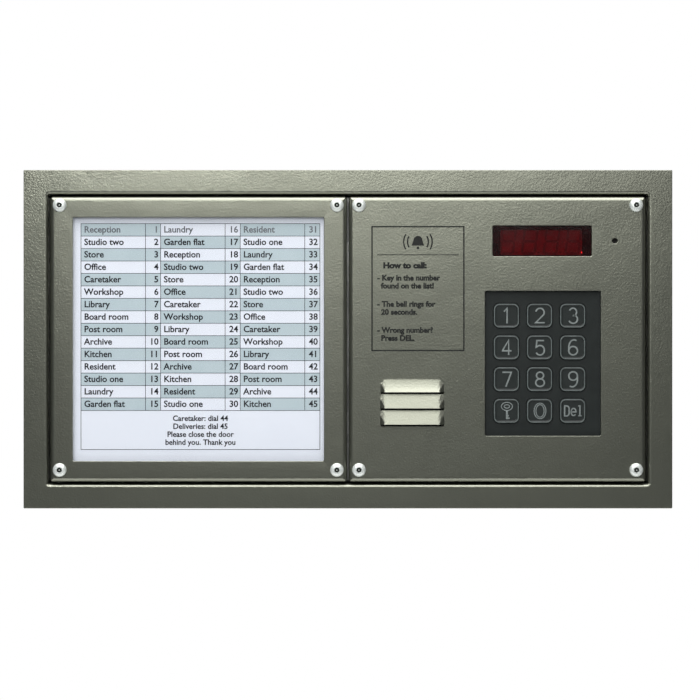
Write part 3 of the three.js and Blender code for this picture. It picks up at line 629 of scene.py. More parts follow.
def fill_brushing(tree: Tree, inputs: bpy.types.Node) -> dict[str, bpy.types.NodeSocket]:
    """Fine drawn lines along x."""
    along = tree.math("DIVIDE", 1.0, inputs.outputs["Length"])
    across = tree.math("DIVIDE", 1.0, inputs.outputs["Width"])
    stretch = tree.node("CombineXYZ", {0: along, 1: across, 2: across})
    vectors = {0: millimetres(tree), 1: stretch.outputs[0]}
    place = tree.node("VectorMath", vectors, operation="MULTIPLY").outputs[0]
    lines = tree.node("TexNoise", {"Vector": place, "Scale": 1.0, "Detail": 3.0})
    return {"Height": lines.outputs["Fac"]}


FILLERS = {
    Effect.ORANGE_PEEL: fill_orange_peel,
    Effect.MOTTLE: fill_mottle,
    Effect.EDGE_WEAR: fill_edge_wear,
    Effect.GRAIN: fill_grain,
    Effect.BRUSHING: fill_brushing,
}


def effect(tree: Tree, kind: Effect, **values) -> bpy.types.Node:
    """Places a shared effect in a material, building its node group the first time.

    Args:
        tree: The material's tree.
        kind: Which effect.
        **values: The group's inputs, by name.

    Returns:
        The group's node.
    """
    group = bpy.data.node_groups.get(kind.value)
    if group is None:
        group = bpy.data.node_groups.new(kind.value, "ShaderNodeTree")
        for name, value in GROUP_INPUTS[kind].items():
            socket = group.interface.new_socket(name, in_out="INPUT", socket_type="NodeSocketFloat")
            socket.default_value = value
        inputs = group.nodes.new("NodeGroupInput")
        outputs = group.nodes.new("NodeGroupOutput")
        for name, source in FILLERS[kind](Tree(group), inputs).items():
            group.interface.new_socket(name, in_out="OUTPUT", socket_type="NodeSocketFloat")
            group.links.new(source, outputs.inputs[name])
    return tree.node("Group", values, node_tree=group)


# ---------------------------------------------------------------- finishes


def opaque(colour: Colour) -> tuple[float, float, float, float]:
    """A colour with full cover."""
    return (*colour, 1.0)


@dataclass(frozen=True)
class Finish:
    """A plain finish: one colour in two shades, with a fine grain and slightly worn edges.

    Its slot is the record's material slot.
    """

    name: str
    slot: str
    colour: Colour
    shade: Colour
    roughness: float
    metallic: float = 0.0
    coat: float = 0.0
    patch: float = 12.0
    grain: float = 0.3
    grain_depth: float = 0.01
    worn: Colour = (0.5, 0.5, 0.5)
    wear: float = 0.3
    wear_radius: float = 0.35
    shine: float = 0.5
    uneven: float = 0.06

    def material(self) -> bpy.types.Material:
        """The finish as a material, built once."""
        made = bpy.data.materials.get(self.name)
        if made is None:
            made = bpy.data.materials.new(self.name)
            made.use_nodes = True
            made.node_tree.nodes.clear()
            tree = Tree(made.node_tree)
            shader = tree.node("BsdfPrincipled")
            output = tree.node("OutputMaterial")
            tree.link(self.surface(tree, shader), output.inputs[0])
            shader.inputs["Specular IOR Level"].default_value = self.shine
            self.dress(tree, shader)
        return made

    def surface(self, tree: Tree, shader: bpy.types.Node) -> bpy.types.NodeSocket:
        """The shader that the material puts out, which is the Principled one as it stands.

        Args:
            tree: The material's tree.
            shader: Its Principled shader.

        Returns:
            The shader's socket.
        """
        return shader.outputs[0]

    def bump(self, tree: Tree, shader: bpy.types.Node, height, depth: float) -> bpy.types.Node:
        """Raises the surface by a height map.

        Args:
            tree: The material's tree.
            shader: The shader that gets the normal.
            height: The height's socket, from 0 to 1.
            depth: What 1 stands for, in millimetres.

        Returns:
            The bump node.
        """
        bump = tree.node("Bump", {"Height": height, "Strength": 1.0, "Distance": depth * MM})
        tree.link(bump.outputs[0], shader.inputs["Normal"])
        return bump

    def dress(self, tree: Tree, shader: bpy.types.Node) -> None:
        """Fills in the shader's inputs.

        Args:
            tree: The material's tree.
            shader: Its Principled shader.
        """
        shader.inputs["Metallic"].default_value = self.metallic
        shader.inputs["Coat Weight"].default_value = self.coat
        patches = effect(tree, Effect.MOTTLE, Size=self.patch, Contrast=0.5).outputs["Mask"]
        worn = effect(tree, Effect.EDGE_WEAR, Radius=self.wear_radius, Amount=self.wear).outputs["Mask"]
        body = tree.blend(patches, opaque(self.colour), opaque(self.shade))
        tree.link(tree.blend(worn, body, opaque(self.worn)), shader.inputs["Base Color"])
        low = max(self.roughness - self.uneven, SMOOTHEST)
        high = self.roughness + self.uneven
        tree.link(tree.spread(patches, low, high), shader.inputs["Roughness"])
        grain = effect(tree, Effect.GRAIN, Size=self.grain).outputs["Height"]
        self.bump(tree, shader, grain, self.grain_depth)


@dataclass(frozen=True)
class HammeredPaint(Finish):
    """Metallic paint that dries to an orange-peel surface over slightly uneven sheet steel."""

    peel: float = 1.1
    peel_depth: float = 0.045
    pits: float = 0.6
    warp: float = 70.0
    warp_depth: float = 0.5
    flake: Colour = (0.5, 0.5, 0.42)
    flake_share: float = 0.15
    flake_gloss: float = 0.025
    coat_roughness: float = 0.18

    def dress(self, tree: Tree, shader: bpy.types.Node) -> None:
        """Fills in the shader's inputs.

        Args:
            tree: The material's tree.
            shader: Its Principled shader.
        """
        shader.inputs["Metallic"].default_value = self.metallic
        shader.inputs["Coat Weight"].default_value = self.coat
        shader.inputs["Coat Roughness"].default_value = self.coat_roughness
        peel = effect(tree, Effect.ORANGE_PEEL, Size=self.peel, Pits=self.pits)
        patches = effect(tree, Effect.MOTTLE, Size=self.patch, Contrast=0.4).outputs["Mask"]
        worn = effect(tree, Effect.EDGE_WEAR, Radius=0.5, Amount=self.wear).outputs["Mask"]
        body = tree.blend(patches, opaque(self.colour), opaque(self.shade))
        share = tree.math("MULTIPLY", peel.outputs["Flake"], self.flake_share)
        flaked = tree.blend(share, body, opaque(self.flake))
        tree.link(tree.blend(worn, flaked, opaque(self.worn)), shader.inputs["Base Color"])
        dull = self.roughness + self.flake_gloss
        glossy = self.roughness - self.flake_gloss
        tree.link(tree.spread(peel.outputs["Flake"], dull, glossy), shader.inputs["Roughness"])
        warp = effect(tree, Effect.MOTTLE, Size=self.warp, Contrast=0.0).outputs["Mask"]
        uneven = tree.node("Bump", {"Height": warp, "Strength": 1.0, "Distance": self.warp_depth * MM})
        skin = self.bump(tree, shader, peel.outputs["Height"], self.peel_depth)
        tree.link(uneven.outputs[0], skin.inputs["Normal"])


@dataclass(frozen=True)
class GalvanisedSteel(Finish):
    """Zinc-dipped sheet, with its crystals showing as flat patches of slightly different grey."""

    spangle: float = 9.0
    dulling: float = 0.18

    def dress(self, tree: Tree, shader: bpy.types.Node) -> None:
        """Fills in the shader's inputs.

        Args:
            tree: The material's tree.
            shader: Its Principled shader.
        """
        shader.inputs["Metallic"].default_value = self.metallic
        inputs = {"Vector": millimetres(tree), "Scale": 1 / self.spangle, "Randomness": 1.0}
        crystals = tree.node("TexVoronoi", inputs)
        tone = tree.node("SeparateColor", {0: crystals.outputs["Color"]}).outputs[0]
        worn = effect(tree, Effect.EDGE_WEAR, Radius=0.4, Amount=self.wear).outputs["Mask"]
        body = tree.blend(tone, opaque(self.colour), opaque(self.shade))
        tree.link(tree.blend(worn, body, opaque(self.worn)), shader.inputs["Base Color"])
        rough = tree.spread(tone, self.roughness, self.roughness + self.dulling)
        tree.link(rough, shader.inputs["Roughness"])
        grain = effect(tree, Effect.GRAIN, Size=self.grain).outputs["Height"]
        self.bump(tree, shader, grain, self.grain_depth)


@dataclass(frozen=True)
class DrawnMetal(Finish):
    """Bright metal with fine lines from drawing or turning."""

    line: float = 0.12
    line_length: float = 4.0
    smoother: float = 0.08
    rougher: float = 0.1

    def dress(self, tree: Tree, shader: bpy.types.Node) -> None:
        """Fills in the shader's inputs.

        Args:
            tree: The material's tree.
            shader: Its Principled shader.
        """
        shader.inputs["Metallic"].default_value = self.metallic
        patches = effect(tree, Effect.MOTTLE, Size=self.patch, Contrast=0.6).outputs["Mask"]
        tree.link(
            tree.blend(patches, opaque(self.colour), opaque(self.shade)), shader.inputs["Base Color"]
        )
        lines = effect(tree, Effect.BRUSHING, Length=self.line_length, Width=self.line).outputs["Height"]
        rough = tree.spread(lines, self.roughness - self.smoother, self.roughness + self.rougher)
        tree.link(rough, shader.inputs["Roughness"])
        self.bump(tree, shader, lines, self.grain_depth)


@dataclass(frozen=True)
class ClearPlastic(Finish):
    """A polished see-through moulding or sheet, tinted by its colour."""

    through: float = 1.0
    index: float = 1.49
    ripple: float = 45.0
    ripple_depth: float = 0.12
    haze: float = 1.6

    def surface(self, tree: Tree, shader: bpy.types.Node) -> bpy.types.NodeSocket:
        """Lets the lamps' light straight through to what lies behind, tinted by the two faces.

        Args:
            tree: The material's tree.
            shader: Its Principled shader.

        Returns:
            The mixed shader's socket.
        """
        path = tree.node("LightPath").outputs
        lit = tree.math("MAXIMUM", path["Is Shadow Ray"], path["Is Diffuse Ray"])
        tint = tuple(math.sqrt(part) for part in self.colour)
        clear = tree.node("BsdfTransparent", {"Color": opaque(tint)})
        return tree.node("MixShader", {0: lit, 1: shader.outputs[0], 2: clear.outputs[0]}).outputs[0]

    def dress(self, tree: Tree, shader: bpy.types.Node) -> None:
        """Fills in the shader's inputs.

        Args:
            tree: The material's tree.
            shader: Its Principled shader.
        """
        shader.inputs["Metallic"].default_value = 0.0
        shader.inputs["Transmission Weight"].default_value = self.through
        shader.inputs["IOR"].default_value = self.index
        patches = effect(tree, Effect.MOTTLE, Size=self.patch, Contrast=0.5).outputs["Mask"]
        tree.link(
            tree.blend(patches, opaque(self.colour), opaque(self.shade)), shader.inputs["Base Color"]
        )
        rough = tree.spread(patches, self.roughness, self.roughness * self.haze)
        tree.link(rough, shader.inputs["Roughness"])
        ripple = effect(tree, Effect.MOTTLE, Size=self.ripple, Contrast=0.0).outputs["Mask"]
        self.bump(tree, shader, ripple, self.ripple_depth)


@dataclass(frozen=True)
class Cloth(Finish):
    """A plain weave of round threads."""

    thread: float = 0.35
    hollow: float = 0.95

    def dress(self, tree: Tree, shader: bpy.types.Node) -> None:
        """Fills in the shader's inputs.

        Args:
            tree: The material's tree.
            shader: Its Principled shader.
        """
        turn = math.pi / self.thread
        place = tree.node("SeparateXYZ", {0: millimetres(tree, (turn, turn, turn))})
        warp = tree.math("SINE", place.outputs[0])
        weft = tree.math("SINE", place.outputs[2])
        weave = tree.math("ABSOLUTE", tree.math("MULTIPLY", warp, weft))
        # The hollows between the threads take the darker colour: painted shade.
        tree.link(tree.blend(weave, opaque(self.shade), opaque(self.colour)), shader.inputs["Base Color"])
        tree.link(tree.spread(weave, self.hollow, self.roughness), shader.inputs["Roughness"])
        self.bump(tree, shader, weave, self.grain_depth)


@dataclass(frozen=True)
class PrintedBoard(Finish):
    """Glass-fibre board under green solder mask, with copper tracks and tinned pads showing through."""

    track: float = 2.54
    track_roughness: float = 0.3

    def dress(self, tree: Tree, shader: bpy.types.Node) -> None:
        """Fills in the shader's inputs.

        Args:
            tree: The material's tree.
            shader: Its Principled shader.
        """
        shader.inputs["Coat Weight"].default_value = self.coat
        cells = {"Vector": millimetres(tree), "Scale": 1 / self.track, "Randomness": 0.0}
        grid = tree.node("TexVoronoi", cells, feature="F1", distance="CHEBYCHEV")
        chance = tree.node("SeparateColor", {0: grid.outputs["Color"]}).outputs[0]
        copper = tree.ramp(chance, 0.55, 0.6)
        body = tree.blend(copper, opaque(self.colour), opaque(self.shade))
        pad = tree.math("LESS_THAN", grid.outputs["Distance"], 0.16)
        tinned = tree.math("MULTIPLY", pad, tree.ramp(chance, 0.78, 0.8))
        tree.link(tree.blend(tinned, body, opaque(self.worn)), shader.inputs["Base Color"])
        tree.link(tinned, shader.inputs["Metallic"])
        rough = tree.spread(copper, self.roughness, self.track_roughness)
        tree.link(rough, shader.inputs["Roughness"])
        self.bump(tree, shader, copper, self.grain_depth)


@dataclass(frozen=True)
class Glow(Finish):
    """A small lamp behind a diffusing cap."""

    strength: float = 1.0

    def dress(self, tree: Tree, shader: bpy.types.Node) -> None:
        """Fills in the shader's inputs.

        Args:
            tree: The material's tree.
            shader: Its Principled shader.
        """
        patches = effect(tree, Effect.MOTTLE, Size=1.0, Contrast=0.5).outputs["Mask"]
        body = tree.blend(patches, opaque(self.colour), opaque(self.shade))
        tree.link(body, shader.inputs["Base Color"])
        tree.link(body, shader.inputs["Emission Color"])
        shader.inputs["Emission Strength"].default_value = self.strength
        shader.inputs["Roughness"].default_value = self.roughness


@dataclass(frozen=True)
class RimmedCap(Finish):
    """A moulded key cap whose raised rim is paler along its crest, partly from wear and partly as a painted
    highlight.
    """

    crest: float = 0.0
    crest_depth: float = 0.22
    rubbed_patch: float = 3.5
    rubbed_least: float = 0.35

    def dress(self, tree: Tree, shader: bpy.types.Node) -> None:
        """Fills in the shader's inputs.

        Args:
            tree: The material's tree.
            shader: Its Principled shader.
        """
        super().dress(tree, shader)
        body = shader.inputs["Base Color"].links[0].from_socket
        depth = tree.node("SeparateXYZ", {0: millimetres(tree)}).outputs[1]
        near = tree.math("SUBTRACT", 1.0, tree.ramp(depth, self.crest, self.crest + self.crest_depth))
        wear_and_sheen = effect(tree, Effect.MOTTLE, Size=self.rubbed_patch, Contrast=0.2).outputs["Mask"]
        amount = tree.spread(wear_and_sheen, self.rubbed_least, 1.0)
        # Pale crest line: partly wear, partly a painted highlight where the rim's edges catch the light.
        mask = tree.math("MULTIPLY", near, amount)
        tree.link(tree.blend(mask, body, opaque(self.worn)), shader.inputs["Base Color"])


PAINT = HammeredPaint(
    name="hammered paint",
    slot="hammered_paint",
    colour=(0.312, 0.326, 0.27),
    shade=(0.285, 0.3, 0.25),
    roughness=0.32,
    metallic=0.97,
    coat=0.1,
    patch=60.0,
    worn=(0.45, 0.45, 0.4),
    wear=0.35,
    peel_depth=0.028,
)
GALVANISED = GalvanisedSteel(
    name="galvanised sheet",
    slot="galvanised_steel",
    colour=(0.56, 0.57, 0.56),
    shade=(0.42, 0.43, 0.43),
    roughness=0.38,
    metallic=0.9,
    grain_depth=0.006,
    worn=(0.72, 0.72, 0.7),
)
ZINC = DrawnMetal(
    name="bright zinc",
    slot="zinc_plate",
    colour=(0.74, 0.77, 0.76),
    shade=(0.58, 0.65, 0.66),
    roughness=0.42,
    metallic=0.92,
    patch=3.0,
    grain_depth=0.006,
)
SCREW_HEAD = Finish(
    name="bright screw head",
    slot="zinc_plate",
    colour=(0.86, 0.9, 0.87),
    shade=(0.74, 0.8, 0.77),
    roughness=0.36,
    metallic=0.55,
    patch=1.6,
    grain=0.5,
    grain_depth=0.004,
    wear=0.0,
)
# Near-black fill in the screw sockets round the pin: painted shade where the socket's shadow falls.
PAINTED_SOCKET_SHADE = Finish(
    name="grime in the sockets",
    slot="zinc_plate",
    colour=(0.012, 0.014, 0.013),
    shade=(0.03, 0.034, 0.03),
    roughness=0.9,
    patch=0.6,
    grain_depth=0.03,
    wear=0.0,
    shine=0.1,
)
BRASS = DrawnMetal(
    name="turned brass",
    slot="brass",
    colour=(0.62, 0.44, 0.17),
    shade=(0.5, 0.34, 0.12),
    roughness=0.3,
    metallic=1.0,
    patch=4.0,
    grain_depth=0.004,
)
RUBBER = Finish(
    name="moulded rubber",
    slot="black_rubber",
    colour=(0.022, 0.022, 0.022),
    shade=(0.03, 0.03, 0.029),
    roughness=0.8,
    grain=0.5,
    grain_depth=0.02,
    worn=(0.06, 0.06, 0.06),
)
FOAM = Finish(
    name="closed-cell foam",
    slot="grey_foam",
    colour=(0.04, 0.04, 0.04),
    shade=(0.055, 0.055, 0.052),
    roughness=0.9,
    grain=0.7,
    grain_depth=0.12,
    worn=(0.07, 0.07, 0.07),
)
CLOTH = Cloth(
    name="speaker cloth",
    slot="black_cloth",
    colour=(0.02, 0.02, 0.02),
    shade=(0.004, 0.004, 0.004),
    roughness=0.8,
    grain_depth=0.08,
)
PANE = ClearPlastic(
    name="clear pane",
    slot="clear_pane",
    colour=(0.97, 0.985, 0.99),
    shade=(0.95, 0.97, 0.98),
    roughness=0.02,
    patch=40.0,
)
PAPER = Finish(
    name="printed sheet",
    slot="printed_paper",
    colour=(0.71, 0.725, 0.785),
    shade=(0.68, 0.7, 0.765),
    roughness=0.75,
    patch=50.0,
    grain=0.35,
    grain_depth=0.01,
    wear=0.0,
    shine=0.03,
)
PAPER_TINT = Finish(
    name="printed tint",
    slot="printed_paper",
    colour=(0.445, 0.515, 0.545),
    shade=(0.415, 0.49, 0.52),
    roughness=0.75,
    patch=20.0,
    grain_depth=0.005,
    wear=0.0,
    shine=0.03,
)
INK = Finish(
    name="black ink",
    slot="printed_paper",
    colour=(0.012, 0.012, 0.014),
    shade=(0.02, 0.02, 0.024),
    roughness=0.6,
    patch=6.0,
    grain_depth=0.003,
    wear=0.0,
    shine=0.03,
)
INK_GREY = Finish(
    name="grey ink",
    slot="printed_paper",
    colour=(0.1, 0.105, 0.115),
    shade=(0.15, 0.155, 0.17),
    roughness=0.6,
    patch=6.0,
    grain_depth=0.003,
    wear=0.0,
    shine=0.03,
)
LACQUER = Finish(
    name="screen-printed lacquer",
    slot="hammered_paint",
    colour=(0.012, 0.013, 0.013),
    shade=(0.022, 0.024, 0.022),
    roughness=0.42,
    patch=5.0,
    grain=0.9,
    grain_depth=0.006,
    wear=0.0,
    shine=0.15,
)
RED_FILTER = ClearPlastic(
    name="red filter",
    slot="red_filter",
    colour=(0.37, 0.05, 0.07),
    shade=(0.35, 0.045, 0.065),
    roughness=0.1,
    patch=15.0,
    ripple_depth=0.03,
)
DISPLAY_BLACK = Finish(
    name="display housing",
    slot="display_housing",
    colour=(0.03, 0.03, 0.032),
    shade=(0.04, 0.04, 0.042),
    roughness=0.55,
    grain_depth=0.006,
    worn=(0.08, 0.08, 0.08),
    shine=0.03,
)
DISPLAY_FACE = Finish(
    name="display face",
    slot="display_housing",
    colour=(0.45, 0.3, 0.3),
    shade=(0.33, 0.22, 0.22),
    roughness=0.6,
    patch=5.0,
    grain_depth=0.006,
    wear=0.0,
    shine=0.03,
)
SEGMENT = Finish(
    name="diffused segment",
    slot="display_housing",
    colour=(0.26, 0.24, 0.24),
    shade=(0.22, 0.2, 0.2),
    roughness=0.5,
    grain_depth=0.004,
    wear=0.0,
    shine=0.03,
)
LIT = Glow(
    name="lit point",
    slot="display_housing",
    colour=(1.0, 0.12, 0.08),
    shade=(1.0, 0.2, 0.12),
    roughness=0.4,
    strength=3.5,
)
CHARCOAL = Finish(
    name="charcoal moulding",
    slot="black_plastic",
    colour=(0.0085, 0.011, 0.0108),
    shade=(0.012, 0.0155, 0.0148),
    roughness=0.5,
    patch=9.0,
    grain=0.28,
    grain_depth=0.012,
    worn=(0.1, 0.11, 0.11),
    wear=0.25,
    shine=0.3,
)
KEY_CAP = RimmedCap(
    name="key cap moulding",
    slot="black_plastic",
    colour=(0.011, 0.0145, 0.014),
    shade=(0.0145, 0.0185, 0.018),
    roughness=0.48,
    patch=6.0,
    grain=0.28,
    grain_depth=0.012,
    # Pale crest colour: partly wear, partly painted highlight.
    worn=(0.125, 0.147, 0.144),
    wear=0.0,
    shine=0.3,
    crest=KEY_CREST,
)
LEGEND = Finish(
    name="legend filling",
    slot="black_plastic",
    colour=(0.2, 0.225, 0.22),
    shade=(0.12, 0.14, 0.138),
    roughness=0.55,
    patch=2.5,
    grain_depth=0.006,
    wear=0.0,
    shine=0.3,
)
BOARD = PrintedBoard(
    name="circuit board",
    slot="circuit_board",
    colour=(0.008, 0.075, 0.03),
    shade=(0.012, 0.13, 0.05),
    roughness=0.4,
    coat=0.4,
    grain_depth=0.03,
    worn=(0.7, 0.7, 0.68),
)
CONE = Finish(
    name="treated paper cone",
    slot="cone_paper",
    colour=(0.018, 0.018, 0.017),
    shade=(0.03, 0.029, 0.027),
    roughness=0.85,
    grain=0.6,
    grain_depth=0.05,
    wear=0.0,
)
FERRITE = Finish(
    name="ferrite",
    slot="ferrite_magnet",
    colour=(0.035, 0.036, 0.04),
    shade=(0.05, 0.05, 0.054),
    roughness=0.5,
    grain_depth=0.02,
    worn=(0.12, 0.12, 0.12),
)
TERMINAL_GREEN = Finish(
    name="terminal moulding",
    slot="terminal_green",
    colour=(0.02, 0.2, 0.06),
    shade=(0.018, 0.17, 0.05),
    roughness=0.45,
    worn=(0.1, 0.35, 0.15),
)
RELAY_BLUE = Finish(
    name="relay case",
    slot="relay_blue",
    colour=(0.02, 0.1, 0.38),
    shade=(0.02, 0.085, 0.32),
    roughness=0.35,
    coat=0.2,
    worn=(0.1, 0.2, 0.5),
)
RIBBON = DrawnMetal(
    name="ribbon cable",
    slot="ribbon_grey",
    colour=(0.3, 0.31, 0.32),
    shade=(0.22, 0.23, 0.24),
    roughness=0.55,
    line=1.27,
    grain_depth=0.2,
)


# ---------------------------------------------------------------- assemblies


@dataclass
class Span:
    """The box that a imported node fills, in millimetres."""

    left: float
    right: float
    front: float
    back: float
    bottom: float
    top: float

    @classmethod
    def of(cls, node: str) -> Span:
        """Reads a node's box from the frame.

        Args:
            node: The node's name.

        Returns:
            Its span.
        """
        low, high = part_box(node)
        return cls(low.x / MM, high.x / MM, low.y / MM, high.y / MM, low.z / MM, high.z / MM)

    @property
    def centre(self) -> Point:
        """Its middle in x and z."""
        return (self.left + self.right) / 2, (self.bottom + self.top) / 2

    @property
    def width(self) -> float:
        """Its size in x."""
        return self.right - self.left

    @property
    def height(self) -> float:
        """Its size in z."""
        return self.top - self.bottom


@dataclass
class Assembly:
    """Pieces that are built and dressed together."""

    nodes: dict[str, Piece]
    made: list[Piece] = field(default_factory=list)

    def add(self, piece: Piece, finish: Finish, *replaced: str, body: str = HOUSING) -> Piece:
        """Dresses a new piece and hangs it on its body.

        Args:
            piece: The piece.
            finish: Its finish.
            *replaced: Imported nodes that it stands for.
            body: The body that it moves with.

        Returns:
            The piece.
        """
        piece.data.materials.clear()
        piece.data.materials.append(finish.material())
        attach(piece, body)
        if replaced:
            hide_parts(*replaced)
        self.made.append(piece)
        return piece

    def keep(self, names: list[str], finish: Finish, ease: float = 0.0) -> None:
        """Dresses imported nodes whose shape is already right.

        Args:
            names: The nodes.
            finish: Their finish.
            ease: How far their sharp edges are eased.
        """
        for name in names:
            node = self.nodes[name]
            node.data.materials.clear()
            node.data.materials.append(finish.material())
            if ease > 0:
                soften(node, ease)
            self.made.append(node)

    def report(self) -> None:
        """Logs the pieces."""
        for piece in self.made:
            LOG.info("%s: %s", type(self).__name__, piece.name)


@dataclass
class TrimFrame(Assembly):
    """The flat steel flange round the opening, with the opening's edges folded back."""

    flange: float = 14.0
    steel: float = 1.5
    bend: float = 1.9
    corner: float = 0.6
    mouth_corner: float = 1.0
    edge: float = 0.35
    bend_steps: int = 10

    def section(self, span: Span) -> list[tuple[float, float, float]]:
        """The folded section, from the flange's outer edge round to its back.

        Args:
            span: The frame's box.

        Returns:
            For each point its distance in from the outer edge, its y and its corner radius.
        """
        front = span.front
        rear = front + self.steel
        points = [(0.0, rear, self.corner), (0.0, front + self.edge, self.corner)]
        points.append((0.3 * self.edge, front + 0.3 * self.edge, self.corner))
        points.append((self.edge, front, self.corner))
        for i in range(self.bend_steps + 1):
            turn = math.pi / 2 * i / self.bend_steps
            reach = self.bend * math.sin(turn)
            corner = self.mouth_corner + self.bend - reach
            depth = self.bend * (1 - math.cos(turn))
            points.append((self.flange - self.bend + reach, front + depth, corner))
        points.append((self.flange, span.back, self.mouth_corner))
        outer_corner = self.mouth_corner + self.steel
        points.append((self.flange - self.steel, span.back, outer_corner))
        inner = self.bend - self.steel
        for i in range(self.bend_steps // 2 + 1):
            turn = math.pi / 2 * (1 - 2 * i / self.bend_steps)
            reach = inner * math.sin(turn)
            corner = self.mouth_corner + self.bend - reach
            points.append((self.flange - self.bend + reach, rear + inner * (1 - math.cos(turn)), corner))
        return points

    def build(self) -> None:
        """Builds and dresses the frame."""
        span = Span.of("trim_frame")
        sheet = Sheet()
        rings = []
        for inset, y, corner in self.section(span):
            outline = rounded_rectangle(
                span.width - 2 * inset, span.height - 2 * inset, corner, span.centre, steps=8
            )
            rings.append(sheet.ring(outline, y))
        sheet.walls([*rings, rings[0]])
        self.add(sheet.object("trim_frame_folded"), PAINT, "trim_frame")


@dataclass(frozen=True)
class Opening:
    """A hole through a face plate."""

    centre: Point
    width: float
    height: float
    corner: float
    steps: int = 5

    def outline(self, grown: float) -> Outline:
        """Its outline, grown all round."""
        width = self.width + 2 * grown
        return rounded_rectangle(
            width, self.height + 2 * grown, self.corner + grown, self.centre, self.steps
        )


@dataclass(frozen=True)
class Louvre:
    """A pressed hood, open along its lower lip."""

    x: float
    lip: float
    width: float = 37.0
    height: float = 7.9
    reach: float = 2.4
    wall: float = 0.9
    slit: float = 1.2
    shoulder_inset: float = 2.4
    shoulder_drop: float = 2.8
    lip_inset: float = 2.6
    lip_stretch: float = 1.07
    waist: float = 0.07
    rise: float = 1.0
    steps: int = 8

    def foot(self, inset: float) -> Outline:
        """Where the hood leaves the plate, from its left end over the top to its right end.

        Args:
            inset: How far inside the outer foot.

        Returns:
            The points.
        """
        half = self.width / 2 - inset
        shoulder = half - self.shoulder_inset
        top = self.height - inset
        corners = [(-half, 0.0), (-half, top - self.shoulder_drop), (-shoulder, top)]
        corners += [(-x, z) for x, z in reversed(corners)]
        counts = (5, 6, 24, 6, 5)
        points: Outline = []
        for (ax, az), (bx, bz), count in zip(corners, corners[1:], counts):
            points += [(ax + (bx - ax) * i / count, az + (bz - az) * i / count) for i in range(count)]
        points.append(corners[-1])
        return [(self.x + x, self.lip + z) for x, z in points]

    def crest(self, inset: float) -> list[float]:
        """The x of the lip's point for each point of the foot.

        Args:
            inset: How far inside the outer foot.

        Returns:
            The places along x.
        """
        foot = self.foot(inset)
        half = self.width / 2 - inset
        reach = half - self.lip_inset
        crest = []
        for x, z in foot:
            along = (x - self.x) / half
            spread = 1 - self.waist * (z - self.lip) / self.height
            share = min(1.0, abs(along) * self.lip_stretch)
            crest.append(self.x + math.copysign(reach * share * spread, along))
        return crest

    def shell(self, sheet: Sheet, foot: Ring, y: float, reach: float, inset: float) -> list[Ring]:
        """The hood's outer or inner face.

        Args:
            sheet: The mesh.
            foot: The foot's vertices, which the face starts from.
            y: Depth of the foot.
            reach: How far the lip stands in front of the foot.
            inset: How far this face lies inside the outer one.

        Returns:
            The rows of vertices, from the foot to the lip.
        """
        rows = [foot]
        start = self.foot(inset)
        end = self.crest(inset)
        for step in range(1, self.steps + 1):
            share = step / self.steps
            height = reach * share**self.rise
            points = []
            for (x, z), lip_x in zip(start, end):
                drop = self.lip if z > self.lip else z
                points.append((x + (lip_x - x) * share, z + (drop - z) * share, y - height))
            rows.append([sheet.mesh.verts.new((a * MM, b * MM, c * MM)) for a, c, b in points])
        sheet.walls(rows, closed=False)
        return rows

    def press(self, sheet: Sheet, front: float, back: float) -> tuple[Ring, Ring]:
        """Adds the hood to a plate.

        Args:
            sheet: The plate's mesh.
            front: The y of the plate's front.
            back: The y of its back.

        Returns:
            The rings of the hole that the hood leaves in the plate's front and in its back.
        """
        outer_foot = sheet.ring(self.foot(0.0), front)
        inner_foot = sheet.ring(self.foot(self.wall), back)
        outer = self.shell(sheet, outer_foot, front, self.reach, 0.0)
        inner = self.shell(sheet, inner_foot, back, self.reach + back - front - self.wall, self.wall)
        sheet.wall(outer[-1], inner[-1], closed=False)
        for side in (0, -1):
            sheet.wall([row[side] for row in outer], [row[side] for row in inner], closed=False)
        below = self.lip - self.slit
        half = self.width / 2 - 0.4
        lower = [(self.x + half, below), (self.x - half, below)]
        front_low = sheet.ring(lower, front)
        back_low = sheet.ring(lower, back)
        front_run = [outer_foot[-1], *front_low, outer_foot[0]]
        back_run = [inner_foot[-1], *back_low, inner_foot[0]]
        sheet.wall(front_run, back_run, closed=False)
        return [*outer_foot, *front_low], [*inner_foot, *back_low]


